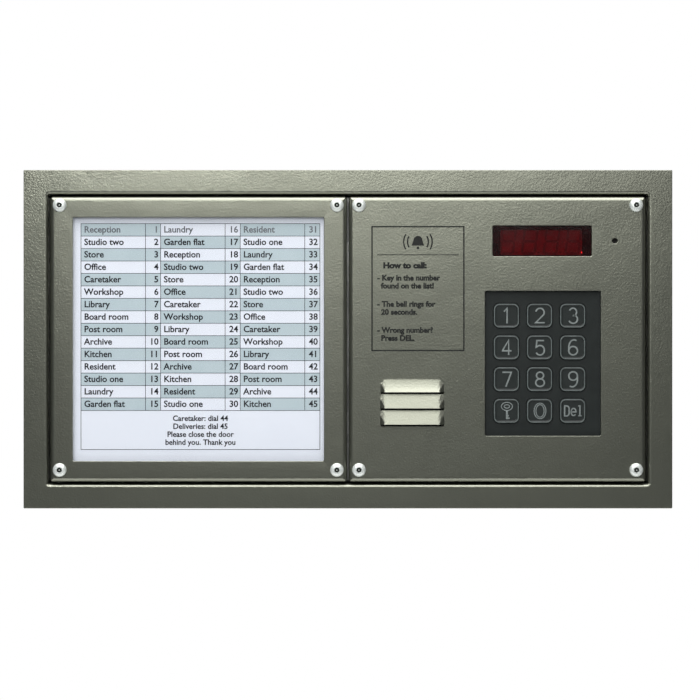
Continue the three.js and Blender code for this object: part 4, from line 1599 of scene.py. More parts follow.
@dataclass
class FacePlate(Assembly):
    """A tray-shaped steel face plate with folded edges."""

    steel: float = 1.5
    bend: float = 2.5
    corner: float = 1.5
    cut_edge: float = 0.4
    bend_steps: int = 8
    screw_hole: float = 4.2
    sharp: float = 0.15

    def fold(self, sheet: Sheet, span: Span, inset: float) -> list[Ring]:
        """The rings of one side of the folded sheet, from its free edge to the flat face.

        Args:
            sheet: The mesh.
            span: The plate's box.
            inset: How far this side lies inside the outer one.

        Returns:
            The rings.
        """
        width = span.width - 2 * inset
        height = span.height - 2 * inset
        face = span.front + inset
        bend = self.bend - inset
        corner = max(self.corner - inset, self.sharp)
        edge = span.front + self.edge_depth
        rings = [sheet.ring(rounded_rectangle(width, height, corner, span.centre, 3), edge)]
        for i in range(self.bend_steps + 1):
            turn = math.pi / 2 * i / self.bend_steps
            drawn = bend * (1 - math.cos(turn))
            radius = max(corner - drawn, self.sharp)
            outline = rounded_rectangle(width - 2 * drawn, height - 2 * drawn, radius, span.centre, 3)
            rings.append(sheet.ring(outline, face + bend * (1 - math.sin(turn))))
        return rings

    @property
    def edge_depth(self) -> float:
        """From the plate's front to its folded sides' free edge."""
        return 10.0

    def cut(self, sheet: Sheet, opening: Opening, front: float, back: float) -> tuple[Ring, Ring]:
        """Cuts an opening, its front edge slightly rounded by the press.

        Args:
            sheet: The mesh.
            opening: The opening.
            front: The y of the plate's front.
            back: The y of its back.

        Returns:
            The opening's rings in the front and in the back.
        """
        edge = self.cut_edge
        steps = ((edge, 0.0), (0.35 * edge, 0.3 * edge), (0.0, edge))
        rings = [sheet.ring(opening.outline(grown), front + depth) for grown, depth in steps]
        rings.append(sheet.ring(opening.outline(0.0), back))
        sheet.walls(rings)
        return rings[0], rings[-1]

    def tray(self, node: str, openings: list[Opening], louvres: list[Louvre]) -> Piece:
        """Builds the whole plate.

        Args:
            node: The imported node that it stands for.
            openings: Its holes.
            louvres: Its pressed hoods.

        Returns:
            The plate.
        """
        span = Span.of(node)
        front = self.face
        back = front + self.steel
        span = Span(span.left, span.right, front, span.back, span.bottom, span.top)
        sheet = Sheet()
        outer = self.fold(sheet, span, 0.0)
        inner = self.fold(sheet, span, self.steel)
        sheet.walls(outer)
        sheet.walls(inner)
        sheet.wall(outer[0], inner[0])
        pairs = [self.cut(sheet, opening, front, back) for opening in openings]
        pairs += [louvre.press(sheet, front, back) for louvre in louvres]
        sheet.skin(outer[-1], [pair[0] for pair in pairs])
        sheet.skin(inner[-1], [pair[1] for pair in pairs])
        return self.add(sheet.object(node + "_pressed"), PAINT, node)

    @property
    def face(self) -> float:
        """The y of the plates' front, which the directory plate's box gives."""
        return Span.of("directory_plate").front

    def screw_holes(self, prefix: str) -> list[Opening]:
        """The round holes behind a plate's screw heads."""
        holes = []
        for number in range(1, 5):
            centre = Span.of(f"{prefix}_screw_{number}").centre
            size = self.screw_hole
            holes.append(Opening(centre, size, size, size / 2 - 0.01, 6))
        return holes


@dataclass(frozen=True)
class ButtonScrew:
    """A domed screw with a security pin in its hexagon socket."""

    node: str
    turn: float
    shank: float = 4.0
    gap: float = 0.1
    # How deep the painted shade fills the socket, up from its floor.
    grime: float = 1.05
    rim: float = 0.45
    land: float = 3.3
    socket: float = 2.8
    socket_depth: float = 1.3
    pin: float = 0.7
    dome_steps: int = 8

    def build(self) -> Piece:
        """Builds the screw in its place.

        Returns:
            The screw.
        """
        span = Span.of(self.node)
        head = span.width
        under = Span.of("directory_plate").front - self.gap
        top = span.front
        crown = under - self.rim
        profile = [(0.0, span.back), (self.shank / 2 - 0.3, span.back), (self.shank / 2, span.back - 0.3)]
        profile += [(self.shank / 2, under), (head / 2 - 0.1, under)]
        profile += [(head / 2, under - 0.12), (head / 2, crown)]
        for i in range(1, self.dome_steps + 1):
            swing = math.pi / 2 * i / self.dome_steps
            radius = self.land / 2 + (head / 2 - self.land / 2) * math.cos(swing)
            profile.append((radius, crown + (top - crown) * math.sin(swing)))
        sheet = Sheet()
        rings = sheet.lathe(profile, span.centre)
        deep = top + self.socket_depth
        mouth = sheet.ring(hexagon(self.socket + 0.3, span.centre), top)
        walls = sheet.ring(hexagon(self.socket, span.centre), top + 0.18)
        floor = sheet.ring(hexagon(self.socket, span.centre), deep)
        pin_foot = sheet.ring(circle(self.pin, span.centre), deep)
        pin_side = sheet.ring(circle(self.pin, span.centre), top + 0.4)
        pin_top = sheet.ring(circle(self.pin - 0.2, span.centre), top + 0.3)
        sheet.walls([rings[-1], mouth, walls, floor, pin_foot, pin_side, pin_top])
        sheet.cap(pin_top)
        middle = Vector((span.centre[0] * MM, 0.0, span.centre[1] * MM))
        spin = Matrix.Rotation(math.radians(self.turn), 3, "Y")
        bmesh.ops.rotate(sheet.mesh, verts=sheet.mesh.verts, cent=middle, matrix=spin)
        return sheet.object(self.node + "_turned", crease=38.0)

    def dirt(self) -> Piece:
        """Builds a near-black fill in the socket, round the pin: painted shade where the socket's shadow
        falls.

        Returns:
            The painted shade.
        """
        span = Span.of(self.node)
        deep = span.front + self.socket_depth
        sheet = Sheet()
        outer = circle(self.socket - 0.06, span.centre, 36)
        inner = circle(self.pin + 0.06, span.centre, 36)
        sheet.tube(outer, inner, deep - 0.02, deep - self.grime, 0.08)
        return sheet.object(self.node + "_grime")


@dataclass(frozen=True)
class Fixing:
    """A welded stud, with a nut on it."""

    centre: Point
    nut_front: float
    thread: float = 3.0
    across_flats: float = 5.5
    nut_height: float = 2.4
    spare: float = 0.6
    pitch: float = 0.5
    thread_depth: float = 0.22
    turn: float = 0.0

    def stud(self, name: str, foot: float) -> Piece:
        """Builds the stud.

        Args:
            name: The fixing's name.
            foot: The y of the plate's back, which the stud is welded to.

        Returns:
            The stud.
        """
        stud = Sheet()
        radius = self.thread / 2
        tip = self.nut_front + self.nut_height + self.spare
        profile = [(0.0, foot), (radius + 0.7, foot), (radius + 0.25, foot + 0.35), (radius, foot + 0.8)]
        turns = int((tip - foot - 1.6) / self.pitch)
        for i in range(turns):
            root = foot + 1.2 + self.pitch * i
            profile += [(radius, root), (radius - self.thread_depth, root + self.pitch / 2)]
        profile += [(radius, tip - 0.4), (radius - 0.35, tip), (0.0, tip)]
        stud.lathe(profile, self.centre, 20)
        return stud.object(name + "_stud", 30.0)

    def nut(self, name: str) -> Piece:
        """Builds the nut.

        Args:
            name: The fixing's name.

        Returns:
            The nut.
        """
        nut = Sheet()
        outer = hexagon(self.across_flats, self.centre, 36)
        hole = circle(self.thread + 0.15, self.centre, 36)
        nut.tube(outer, hole, self.nut_front + self.nut_height, self.nut_front, 0.25)
        middle = Vector((self.centre[0] * MM, 0.0, self.centre[1] * MM))
        spin = Matrix.Rotation(math.radians(self.turn), 3, "Y")
        bmesh.ops.rotate(nut.mesh, verts=nut.mesh.verts, cent=middle, matrix=spin)
        return nut.object(name + "_nut", 30.0)


@dataclass
class Housing(Assembly):
    """The back box, its rails and the grommet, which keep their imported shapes."""

    def build(self) -> None:
        """Dresses the housing's nodes."""
        self.keep(["back_box"], GALVANISED, 0.5)
        self.keep(["left_rail", "centre_rail", "right_rail"], GALVANISED, 0.4)
        self.keep(["cable_grommet"], RUBBER, 0.5)


@dataclass(frozen=True)
class Table:
    """The printed list's grid: pairs of a wide name column and a narrow number column."""

    width: float = 137.9
    height: float = 130.4
    shift: float = 1.0
    drop: float = 6.4
    pairs: int = 3
    rows: int = 15
    row_height: float = 7.19
    number_share: float = 0.19
    rule: float = 0.32


@dataclass
class Directory(FacePlate):
    """The left module: a plate with a window, a clear pane and the printed list behind it."""

    window_corner: float = 0.8
    table: Table = field(default_factory=Table)
    print_height: float = 0.03
    tint_height: float = 0.015

    names = (
        "Reception", "Caretaker", "Post room", "Studio one", "Studio two", "Workshop", "Archive",
        "Laundry", "Store", "Library", "Kitchen", "Garden flat", "Office", "Board room", "Resident",
    )
    notes = ("Caretaker: dial 44", "Deliveries: dial 45", "Please close the door", "behind you. Thank you")

    def build(self) -> None:
        """Builds and dresses the module."""
        window = Span.of("directory_window")
        frame = self.window_opening()
        self.tray("directory_plate", [frame, *self.screw_holes("directory")], [])
        self.keep(["directory_gasket"], RUBBER)
        self.keep(["directory_window"], PANE, 0.3)
        self.keep(["name_sheet"], PAPER)
        self.keep(["backing_plate"], GALVANISED, 0.2)
        self.keep([f"backing_nut_{i}" for i in range(1, 5)], ZINC, 0.25)
        for number in range(1, 5):
            screw = ButtonScrew(f"directory_screw_{number}", turn=13.0 * number)
            self.add(screw.build(), SCREW_HEAD, screw.node)
            # The socket's painted shade.
            self.add(screw.dirt(), PAINTED_SOCKET_SHADE)
            nut = Span.of(f"backing_nut_{number}")
            fixing = Fixing(nut.centre, nut.front)
            self.add(fixing.stud(f"backing_{number}", self.face + self.steel), ZINC)
        self.print_list((window.centre[0] + self.table.shift, window.centre[1]))

    def window_opening(self) -> Opening:
        """The window's hole, which the pane overlaps by a lap all round."""
        pane = Span.of("directory_window")
        lap = 3.0
        return Opening(
            pane.centre, pane.width - 2 * lap, pane.height - 2 * lap, self.window_corner
        )

    def print_list(self, middle: Point) -> None:
        """Prints the list on the sheet.

        Args:
            middle: The window's centre, shifted to the table's middle.
        """
        table = self.table
        paper = Span.of("name_sheet").front
        left = middle[0] - table.width / 2
        top = Span.of("name_sheet").top - table.drop + 0.45
        bottom = top - table.height
        pair = table.width / table.pairs
        number = pair * table.number_share
        self.print_rules(left, top, bottom, pair, number, paper)
        self.print_tints(left, top, pair, paper)
        entries: list[Line] = []
        faint: list[Line] = []
        for column in range(table.pairs):
            for row in range(table.rows):
                base = top - (row + 1) * table.row_height + 2.1
                place = left + column * pair
                count = column * table.rows + row + 1
                words = self.names[(row * 4 + column * 7) % len(self.names)]
                target = faint if row == 0 else entries
                target.append(Line(words, (place + 1.8, base), 5.15, weight=0.12))
                end = place + pair - 1.2
                target.append(Line(str(count), (end, base), 5.15, Align.RIGHT, weight=0.12))
        for index, words in enumerate(self.notes):
            base = top - table.rows * table.row_height - 6.0 - index * 4.6
            entries.append(Line(words, (middle[0], base), 4.4, Align.CENTRE, weight=0.11))
        words = print_lines("list_words", entries, paper - 0.02, self.print_height)
        self.add(words, INK)
        first = print_lines("list_first_row", faint, paper - 0.02, self.print_height)
        self.add(first, INK_GREY)

    def print_rules(
        self, left: float, top: float, bottom: float, pair: float, number: float, paper: float
    ) -> None:
        """Prints the table's ruled lines.

        Args:
            left: The table's left edge.
            top: Its top edge.
            bottom: Its bottom edge.
            pair: Width of a pair of columns.
            number: Width of a number column.
            paper: The y of the sheet's front.
        """
        table = self.table
        sheet = Sheet()
        body_bottom = top - table.rows * table.row_height
        right = left + table.width
        across = [top - row * table.row_height for row in range(table.rows + 1)] + [bottom]
        for z in across:
            self.rule(sheet, left, right, z, z, paper)
        for column in range(table.pairs):
            for x in (left + column * pair, left + (column + 1) * pair - number):
                low = bottom if x == left else body_bottom
                self.rule(sheet, x, x, low, top, paper)
        self.rule(sheet, right, right, bottom, top, paper)
        self.add(sheet.object("list_rules"), INK)

    def rule(self, sheet: Sheet, left: float, right: float, low: float, high: float, paper: float) -> None:
        """Adds one ruled line.

        Args:
            sheet: The rules' mesh.
            left: Its left end.
            right: Its right end.
            low: Its lower end.
            high: Its upper end.
            paper: The y of the sheet's front.
        """
        half = self.table.rule / 2
        centre = ((left + right) / 2, (low + high) / 2)
        width = right - left + 2 * half
        outline = rounded_rectangle(width, high - low + 2 * half, 0.01, centre, 1)
        back = paper - 0.02
        upright = 0.004 if left == right else 0.0
        sheet.block(outline, back, back - self.print_height - upright)

    def print_tints(self, left: float, top: float, pair: float, paper: float) -> None:
        """Prints every other cell's tint, in a checkerboard.

        Args:
            left: The table's left edge.
            top: Its top edge.
            pair: Width of a pair of columns.
            paper: The y of the sheet's front.
        """
        table = self.table
        sheet = Sheet()
        for column in range(table.pairs):
            for row in range(table.rows):
                if (row + column) % 2:
                    continue
                centre = (left + (column + 0.5) * pair, top - (row + 0.5) * table.row_height)
                outline = rounded_rectangle(pair, table.row_height, 0.01, centre, 1)
                back = paper - 0.004
                sheet.block(outline, back, back - self.tint_height)
        self.add(sheet.object("list_tints"), PAPER_TINT)


@dataclass(frozen=True)
class Segments:
    """A seven-segment digit's proportions."""

    height: float = 14.2
    width: float = 7.4
    stroke: float = 1.35
    slant: float = 0.13
    gap: float = 0.25

    def bars(self) -> list[tuple[Point, Point]]:
        """The two ends of each bar, from the digit's middle."""
        half_w = self.width / 2
        half_h = self.height / 2
        corners = [(-half_w, half_h), (half_w, half_h), (half_w, 0.0), (half_w, -half_h)]
        corners += [(-half_w, -half_h), (-half_w, 0.0)]
        pairs = [(0, 1), (1, 2), (2, 3), (3, 4), (4, 5), (5, 0), (5, 2)]
        return [(corners[a], corners[b]) for a, b in pairs]

    def outline(self, start: Point, end: Point, centre: Point) -> Outline:
        """One bar as a long hexagon.

        Args:
            start: Its first end.
            end: Its other end.
            centre: The digit's middle.

        Returns:
            The outline's points.
        """
        first, last = Vector(start), Vector(end)
        along = (last - first).normalized()
        side = Vector((-along.y, along.x)) * self.stroke / 2
        near, far = first + along * self.gap, last - along * self.gap
        inner = along * self.stroke / 2
        points = [near, near + inner - side, far - inner - side, far, far - inner + side, near + inner + side]
        return [(centre[0] + p.x + self.slant * p.y, centre[1] + p.y) for p in points]


@dataclass
class Display(Assembly):
    """The four-digit display behind its red filter."""

    digits: int = 4
    segments: Segments = field(default_factory=Segments)
    recess: float = 0.35
    rim: float = 1.3
    dot: float = 1.15
    seen: Point = (47.3, 14.6)
    seen_centre: Point = (111.45, 55.9)

    def build(self) -> None:
        """Builds and dresses the display."""
        self.keep(["display_filter"], RED_FILTER, 0.2)
        self.keep(["display_board"], BOARD, 0.1)
        pane = Span.of("display_filter")
        mask = Sheet()
        edge = rounded_rectangle(pane.width - 1.0, pane.height - 1.0, 1.0, pane.centre, 4)
        window = rounded_rectangle(*self.seen, 1.0, self.seen_centre, 4)
        mask.tube(edge, window, pane.back + 0.35, pane.back + 0.02, 0.05)
        self.add(mask.object("display_mask"), DISPLAY_BLACK)
        span = Span.of("display_digits")
        floor = span.front + self.recess
        body = Sheet()
        outline = rounded_rectangle(span.width, span.height, 0.6, span.centre, 4)
        body.block(outline, span.back, floor, 0.3)
        self.add(body.object("display_block"), DISPLAY_BLACK, "display_digits")
        face = Sheet()
        width, height = span.width - 2 * self.rim, span.height - 2 * self.rim * 0.4
        face.block(rounded_rectangle(width, height, 0.4, span.centre, 4), floor - 0.01, floor - 0.08)
        self.add(face.object("display_face"), DISPLAY_FACE)
        bars = Sheet()
        pitch = span.width / self.digits
        for digit in range(self.digits):
            centre = (span.left + (digit + 0.5) * pitch - 0.6, span.centre[1])
            for start, end in self.segments.bars():
                place = self.segments.outline(start, end, centre)
                bars.block(place, floor - 0.09, span.front + 0.12)
            if digit < self.digits - 1:
                self.point(bars, span, centre)
        self.add(bars.object("display_segments"), SEGMENT)
        lit = Sheet()
        self.point(lit, span, (span.right - pitch / 2 - 0.6, span.centre[1]))
        self.add(lit.object("display_lit_point"), LIT)

    def point(self, sheet: Sheet, span: Span, centre: Point) -> None:
        """Adds a digit's decimal point.

        Args:
            sheet: The mesh.
            span: The display block's box.
            centre: The digit's middle.
        """
        aside = self.segments.width / 2 + 1.3
        place = (centre[0] + aside, centre[1] - self.segments.height / 2 + 0.6)
        outline = circle(self.dot, place, 20)
        sheet.block(outline, span.front + self.recess - 0.09, span.front + 0.12)


class Legend(Enum):
    """What each key shows."""

    KEY_1 = "1"
    KEY_2 = "2"
    KEY_3 = "3"
    KEY_4 = "4"
    KEY_5 = "5"
    KEY_6 = "6"
    KEY_7 = "7"
    KEY_8 = "8"
    KEY_9 = "9"
    KEY_ENTRY = "entry"
    KEY_0 = "0"
    KEY_DELETE = "Del"

    @property
    def node(self) -> str:
        """The key's node, which is its body's name too."""
        return self.name.lower()


def strokes(legend: Legend) -> list[tuple[Outline, float, bool]]:
    """The lines that a legend is drawn with, about its middle.

    Args:
        legend: Which key.

    Returns:
        For each line its path, its width and whether it closes.
    """
    pen = 0.85
    thin = 0.5
    loop = oval((0.0, -1.85), 2.5, 2.45)
    six = [*oval((0.5, 0.2), 3.0, 4.2, 62, 180), (-2.5, -1.8)]
    turned = [(-x, -z) for x, z in six]
    drawn: dict[Legend, list[tuple[Outline, float, bool]]] = {
        Legend.KEY_1: [([(-1.7, 2.4), (0.1, 4.3), (0.1, -4.4)], pen, False)],
        Legend.KEY_2: [([*oval((0, 1.9), 2.4, 2.45, 168, -32), (-2.5, -4.0), (2.7, -4.0)], pen, False)],
        Legend.KEY_3: [
            ([*oval((-0.1, 2.2), 2.1, 2.15, 160, -80), *oval((0, -1.95), 2.5, 2.4, 82, -158)], pen, False)
        ],
        Legend.KEY_4: [
            ([(1.0, -4.4), (1.0, 4.2), (-2.6, -1.9)], pen, False),
            ([(-2.9, -1.9), (2.7, -1.9)], pen, False),
        ],
        Legend.KEY_5: [
            ([(2.3, 4.0), (-1.8, 4.0), (-2.2, 0.2), *oval((0, -1.6), 2.5, 2.75, 125, -150)], pen, False)
        ],
        Legend.KEY_6: [(loop, pen, True), (six, pen, False)],
        Legend.KEY_7: [([(-2.6, 4.0), (2.5, 4.0), (-0.6, -4.4)], pen, False)],
        Legend.KEY_8: [(oval((0, 2.15), 2.05, 1.95), pen, True), (oval((0, -2.0), 2.5, 2.2), pen, True)],
        Legend.KEY_9: [([(-x, -z) for x, z in loop], pen, True), (turned, pen, False)],
        Legend.KEY_0: [
            (oval((0, 0), 3.4, 4.5, steps=36), thin, True),
            (oval((0, 0), 2.35, 3.6, steps=36), thin, True),
        ],
        Legend.KEY_ENTRY: [
            (oval((0, 2.6), 3.2, 2.35, steps=32), thin, True),
            (oval((0, 2.6), 1.55, 1.0), thin, True),
            ([(0, 0.1), (0, -4.7)], 1.15, False),
            ([(0.4, -4.2), (1.6, -4.2)], 0.8, False),
            ([(0.4, -2.8), (1.2, -2.8)], 0.6, False),
        ],
        Legend.KEY_DELETE: [
            ([(-4.9, -2.9), (-4.9, 2.9), *oval((-3.7, 1.1), 1.4, 1.8, 90, 0), (-2.3, -1.1),
              *oval((-3.7, -1.1), 1.4, 1.8, 0, -90)], 0.75, True),
            ([(-1.1, -0.6), (1.6, -0.6), *oval((0.25, -0.6), 1.4, 2.1, 10, 320)], 0.7, False),
            ([(2.9, 2.9), (3.9, 2.9), (3.9, -2.8)], 0.75, False),
            ([(2.9, -2.8), (4.9, -2.8)], 0.6, False),
        ],
    }
    return drawn[legend]


@dataclass
class Keypad(Assembly):
    """Twelve keys with raised rims in a charcoal carrier."""

    lip: float = 1.0
    lip_reach: float = 0.8
    corner: float = 3.5
    rim: tuple[Point, ...] = (
        (0.0, 0.9),
        (0.08, 0.35),
        (0.3, 0.06),
        (0.62, 0.0),
        (0.95, 0.07),
        (1.2, 0.32),
        (1.4, 0.62),
        (1.8, 0.72),
    )
    rim_rise: float = 0.55
    legend_rise: float = 0.2
    legend_shift: float = 0.3

    def build(self) -> None:
        """Builds and dresses the keypad."""
        self.keep(["keypad_carrier"], CHARCOAL, 0.25)
        self.keep(["keypad_seal"], FOAM)
        self.keep(["keypad_mat"], RUBBER, 0.2)
        self.keep(["keypad_board"], BOARD, 0.1)
        for legend in Legend:
            self.key(legend)

    def key(self, legend: Legend) -> None:
        """Builds one key and its legend.

        Args:
            legend: Which key.
        """
        span = Span.of(legend.node)
        width = span.width - 2 * self.lip_reach
        height = span.height - 2 * self.lip_reach
        crest = span.front - self.rim_rise
        sheet = Sheet()
        wide = rounded_rectangle(span.width, span.height, self.corner, span.centre, 8)
        foot = rounded_rectangle(width, height, self.corner, span.centre, 8)
        rings = [sheet.ring(wide, span.back)]
        rings += [sheet.ring(outline, span.back - self.lip) for outline in (wide, foot)]
        for inset, depth in self.rim:
            outline = rounded_rectangle(
                width - 2 * inset, height - 2 * inset, self.corner - inset, span.centre, 8
            )
            rings.append(sheet.ring(outline, crest + depth))
        sheet.walls(rings)
        sheet.cap(rings[0])
        sheet.cap(rings[-1])
        name = legend.node + "_cap"
        cap = self.add(sheet.object(name, crease=50.0), KEY_CAP, legend.node, body=legend.node)
        mark = self.legend(legend, span.centre, crest + self.rim[-1][1])
        self.add(mark, LEGEND, body=legend.node)
        LOG.debug("%s carries %s", cap.name, mark.name)

    def legend(self, legend: Legend, centre: Point, floor: float) -> Piece:
        """A key's raised legend, drawn in lines of one width.

        Args:
            legend: Which key.
            centre: The key's middle.
            floor: The y of the key's face.

        Returns:
            The legend.
        """
        sheet = Sheet()
        back = floor + 0.05
        x = centre[0] + self.legend_shift
        for number, (path, width, closed) in enumerate(strokes(legend)):
            front = floor - self.legend_rise - 0.012 * number
            sheet.stroke([(x + a, centre[1] + b) for a, b in path], width, back, front, closed)
        return sheet.object("legend_" + legend.node)


@dataclass
class Speaker(Assembly):
    """The loudspeaker behind the louvres, with its seal, cloth and bracket."""

    def build(self) -> None:
        """Dresses the speaker's nodes."""
        self.keep(["speaker_cloth"], CLOTH)
        self.keep(["speaker_seal"], FOAM)
        self.keep(["speaker_basket", "speaker_bracket"], GALVANISED, 0.15)
        self.keep(["speaker_cone"], CONE)
        self.keep(["speaker_magnet"], FERRITE, 0.4)


@dataclass
class Electronics(Assembly):
    """The boards and what stands on them, behind the call plate."""

    def build(self) -> None:
        """Dresses the electronics' nodes."""
        self.keep(["main_board"], BOARD, 0.1)
        self.keep([f"board_standoff_{i}" for i in range(1, 5)], BRASS, 0.25)
        self.keep(["terminal_block"], TERMINAL_GREEN, 0.2)
        self.keep(["door_relay"], RELAY_BLUE, 0.4)
        self.keep(["keypad_ribbon", "display_ribbon"], RIBBON, 0.1)
        self.keep(["microphone_boot"], RUBBER, 0.2)
        self.keep(["microphone"], ZINC, 0.2)
        can = Span.of("microphone")
        felt = Sheet()
        felt.block(circle(can.width - 1.6, can.centre, 32), can.front - 0.02, can.front - 0.35, 0.1)
        self.add(felt.object("microphone_felt"), CLOTH)


@dataclass
class CallModule(FacePlate):
    """The right module's plate, its screws and the instructions printed on it."""

    louvres: int = 3
    louvre_pitch: float = 9.3
    louvre_height: float = 7.9
    display_lap: float = 2.5
    keypad_margins: Point = (6.7, 7.15)
    key_lip: float = 0.8
    microphone_hole: float = 3.0
    display_reach: float = 33.0
    keypad_inset: Point = (5.3, 3.4)
    bracket_inset: float = 4.0
    bracket_steel: float = 1.2
    nut_gap: float = 0.1
    box_top: float = 65.2
    box_bottom: float = -6.9
    box_width: float = 53.65
    box_shift: float = 3.3
    rule: float = 0.8
    ink: float = 0.04

    def build(self) -> None:
        """Builds and dresses the module."""
        pane = Span.of("display_filter")
        display = Opening(
            pane.centre, pane.width - 2 * self.display_lap, pane.height - 2 * self.display_lap, 0.8
        )
        microphone = Span.of("microphone").centre
        hole = self.microphone_hole
        openings = [display, self.keypad_opening(), Opening(microphone, hole, hole, hole / 2 - 0.01, 8)]
        speaker = Span.of("speaker_seal").centre
        lips = [
            speaker[1] + ((self.louvres - 1) / 2 - i) * self.louvre_pitch - self.louvre_height / 2
            for i in range(self.louvres)
        ]
        rises = [1.4] + [1.0] * (self.louvres - 1)
        hoods = [
            Louvre(speaker[0], lip, height=self.louvre_height, rise=rise) for lip, rise in zip(lips, rises)
        ]
        self.tray("call_plate", [*openings, *self.screw_holes("call")], hoods)
        for number in range(1, 5):
            screw = ButtonScrew(f"call_screw_{number}", turn=17.0 * number + 5)
            self.add(screw.build(), SCREW_HEAD, screw.node)
            # The socket's painted shade.
            self.add(screw.dirt(), PAINTED_SOCKET_SHADE)
        self.fix_boards()
        self.print_instructions()

    def fix_boards(self) -> None:
        """Adds the studs and nuts that hold the display, the keypad and the speaker's bracket."""
        display, keypad = Span.of("display_board"), Span.of("keypad_board")
        bracket = Span.of("speaker_bracket")
        sides = (-1, 1)
        x, z = display.centre
        places = [((x + side * self.display_reach, z), display.back) for side in sides]
        across = keypad.width / 2 - self.keypad_inset[0]
        up = keypad.height / 2 - self.keypad_inset[1]
        x, z = keypad.centre
        places += [((x + a * across, z + b * up), keypad.back) for a in sides for b in sides]
        foot = Span.of("speaker_basket").front + self.nut_gap + self.bracket_steel
        reach = bracket.height / 2 - self.bracket_inset
        x, z = bracket.centre
        places += [((x, z + side * reach), foot) for side in sides]
        for number, (centre, rear) in enumerate(places, 1):
            name = f"fixing_{number}"
            fixing = Fixing(centre, rear + self.nut_gap, turn=11.0 * number)
            self.add(fixing.stud(name, self.face + self.steel), ZINC)
            self.add(fixing.nut(name), ZINC)

    def keypad_opening(self) -> Opening:
        """The keypad's hole, round the field of keys."""
        first, last = Span.of("key_1"), Span.of("key_delete")
        carrier = Span.of("keypad_carrier")
        width = last.right - first.left + 2 * (self.keypad_margins[0] - self.key_lip)
        height = first.top - last.bottom + 2 * (self.keypad_margins[1] - self.key_lip)
        return Opening(carrier.centre, width, height, 0.8)

    def print_instructions(self) -> None:
        """Prints the boxed instructions, with a plain bell above them."""
        speaker = Span.of("speaker_seal").centre
        middle = speaker[0] + self.box_shift
        back = self.face - 0.005
        width, height = self.box_width, self.box_top - self.box_bottom
        centre = (middle, (self.box_top + self.box_bottom) / 2)
        rules = Sheet()
        outer = rounded_rectangle(width, height, 0.3, centre, 3)
        inner = rounded_rectangle(width - 2 * self.rule, height - 2 * self.rule, 0.05, centre, 3)
        rings = [rules.ring(outer, back), rules.ring(outer, back - self.ink)]
        rings += [rules.ring(inner, back - self.ink), rules.ring(inner, back)]
        rules.walls([*rings, rings[0]])
        rules.block(rounded_rectangle(47.0, 0.45, 0.05, (middle, 48.6), 2), back, back - self.ink)
        self.add(rules.object("instruction_rules"), LACQUER)
        start = middle - 23.4
        lines = [
            Line("How to call:", (middle - 20.0, 41.0), 4.5, weight=0.29, squeeze=1.12),
            Line("- Key in the number", (start, 33.9), 4.4, weight=0.22),
            Line("found on the list!", (start + 2.2, 29.3), 4.4, weight=0.22),
            Line("- The bell rings for", (start, 18.8), 4.4, weight=0.22),
            Line("20 seconds.", (start + 2.2, 14.2), 4.4, weight=0.22),
            Line("- Wrong number?", (start, 3.8), 4.4, weight=0.22),
            Line("Press DEL.", (start + 2.2, -0.8), 4.4, weight=0.22),
        ]
        self.add(print_lines("instruction_words", lines, back, self.ink), LACQUER)
        self.add(self.bell((middle, 56.5), back), LACQUER)

    def bell(self, centre: Point, back: float) -> Piece:
        """A plain bell with two sound arcs on each side.

        Args:
            centre: Its middle.
            back: The y of its rear face.

        Returns:
            The symbol.
        """
        sheet = Sheet()
        x, z = centre
        front = back - self.ink
        dome = arc((x, z + 0.4), 2.6, 0, 180, 16)
        skirt = [(x - 3.6, z - 2.6), (x + 3.6, z - 2.6)]
        sheet.block([*dome, *skirt], back, front)
        sheet.block(circle(1.6, (x, z - 3.9), 20), back, front)
        for side in (1, -1):
            for radius in (6.0, 8.2):
                middle = 0 if side > 0 else 180
                outer = arc((x, z - 0.4), radius + 0.4, middle - 32, middle + 32, 12)
                inner = arc((x, z - 0.4), radius - 0.4, middle + 32, middle - 32, 12)
                sheet.block([*outer, *inner], back, front)
        return sheet.object("instruction_bell")


# ---------------------------------------------------------------- studio


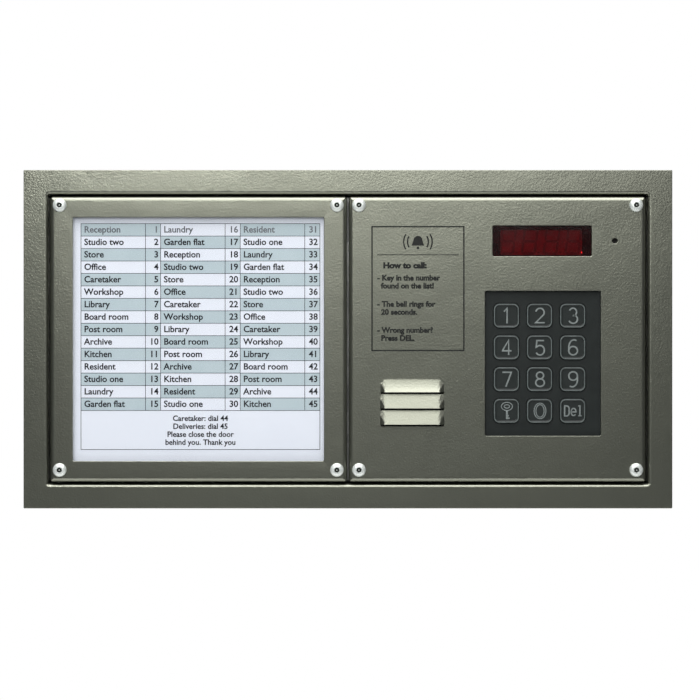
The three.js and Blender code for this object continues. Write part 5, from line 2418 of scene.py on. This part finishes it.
@dataclass
class Studio:
    """The camera, the lights and the pale floor."""

    view_width: float = 402.4
    distance: float = 1200.0
    aim: Point = (0.9, -6.2)
    floor_drop: float = 330.0

    def camera(self) -> None:
        """Stands the camera square in front of the panel."""
        data = bpy.data.cameras.new("camera")
        face = Span.of("directory_plate").front
        data.sensor_fit = "HORIZONTAL"
        data.angle = 2 * math.atan(self.view_width / 2 / self.distance)
        camera = bpy.data.objects.new("camera", data)
        camera.location = (self.aim[0] * MM, (face - self.distance) * MM, self.aim[1] * MM)
        camera.rotation_euler = (math.radians(90), 0.0, 0.0)
        bpy.context.scene.collection.objects.link(camera)
        bpy.context.scene.camera = camera

    def lamp(
        self, name: str, place: Colour, target: Colour, size: Point, power: float, tone: Colour
    ) -> Piece:
        """Hangs a soft rectangular lamp.

        Args:
            name: Its name.
            place: Where it hangs.
            target: What it points at.
            size: Its width and depth.
            power: Its power in watts.
            tone: Its colour.

        Returns:
            The lamp.
        """
        data = bpy.data.lights.new(name, "AREA")
        data.shape = "RECTANGLE"
        data.size = size[0] * MM
        data.size_y = size[1] * MM
        data.energy = power
        data.color = tone
        lamp = bpy.data.objects.new(name, data)
        lamp.location = Vector(place) * MM
        lamp.rotation_euler = (Vector(target) - Vector(place)).to_track_quat("-Z", "Y").to_euler()
        bpy.context.scene.collection.objects.link(lamp)
        return lamp

    def lights(self) -> None:
        """Hangs the lamps and sets the world: white to look at, dimmer as a light."""
        self.lamp("overhead", (-60, -650, 850), (-20, -40, 20), (1300, 700), 11.2, (1.0, 0.98, 0.97))
        self.lamp("porch", (80, -900, 335), (0, -40, 40), (400, 380), 0.85, (1.0, 0.99, 0.95))
        self.lamp("glow", (20, -900, 110), (0, -40, 0), (260, 420), 0.05, (0.97, 1.0, 0.97))
        self.lamp("lantern", (-205, -900, 305), (-100, -40, 80), (130, 130), 0.75, (1.0, 0.99, 0.96))
        self.lamp("eaves", (-60, -150, 900), (-60, -130, 0), (1300, 400), 6.0, (1.0, 0.97, 0.98))
        fill = self.lamp("fill", (-300, -1500, 350), (0, -40, 0), (1200, 900), 11.5, (0.97, 0.98, 1.0))
        fill.visible_glossy = False
        fill.visible_transmission = False
        world = bpy.data.worlds.new("studio")
        bpy.context.scene.world = world
        world.use_nodes = True
        world.node_tree.nodes.clear()
        tree = Tree(world.node_tree)
        seen = tree.node("LightPath").outputs["Is Camera Ray"]
        ambient = tree.node("Background", {"Color": (0.9, 0.95, 1.0, 1.0), "Strength": 0.05})
        backdrop = tree.node("Background", {"Color": (1.0, 1.0, 1.0, 1.0), "Strength": 1.0})
        mix = tree.node("MixShader", {0: seen, 1: ambient.outputs[0], 2: backdrop.outputs[0]})
        output = tree.node("OutputWorld")
        tree.link(mix.outputs[0], output.inputs[0])
        bpy.context.scene.view_settings.view_transform = "Standard"

    def floor(self) -> None:
        """Lays a plain pale floor below the panel."""
        sheet = Sheet()
        sheet.block(rounded_rectangle(1100, 8, 1.0, (0, -self.floor_drop - 4), 2), 550, -550)
        floor = sheet.object("floor")
        material = bpy.data.materials.new("pale floor")
        material.use_nodes = True
        material.node_tree.nodes["Principled BSDF"].inputs["Base Color"].default_value = (0.85, 0.85, 0.84, 1)
        material.node_tree.nodes["Principled BSDF"].inputs["Roughness"].default_value = 0.7
        floor.data.materials.append(material)

    def build(self) -> None:
        """Sets the camera, the lights and the floor."""
        self.camera()
        self.lights()
        self.floor()


def main() -> None:
    """Builds the panel round its frame."""
    logging.basicConfig(level=logging.INFO, format="%(levelname)s %(message)s")
    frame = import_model()
    nodes = frame["nodes"]
    Studio().build()
    assemblies = [
        TrimFrame(nodes),
        Housing(nodes),
        Directory(nodes),
        CallModule(nodes),
        Display(nodes),
        Keypad(nodes),
        Speaker(nodes),
        Electronics(nodes),
    ]
    for assembly in assemblies:
        assembly.build()
        assembly.report()


if __name__ == "__main__":
    main()
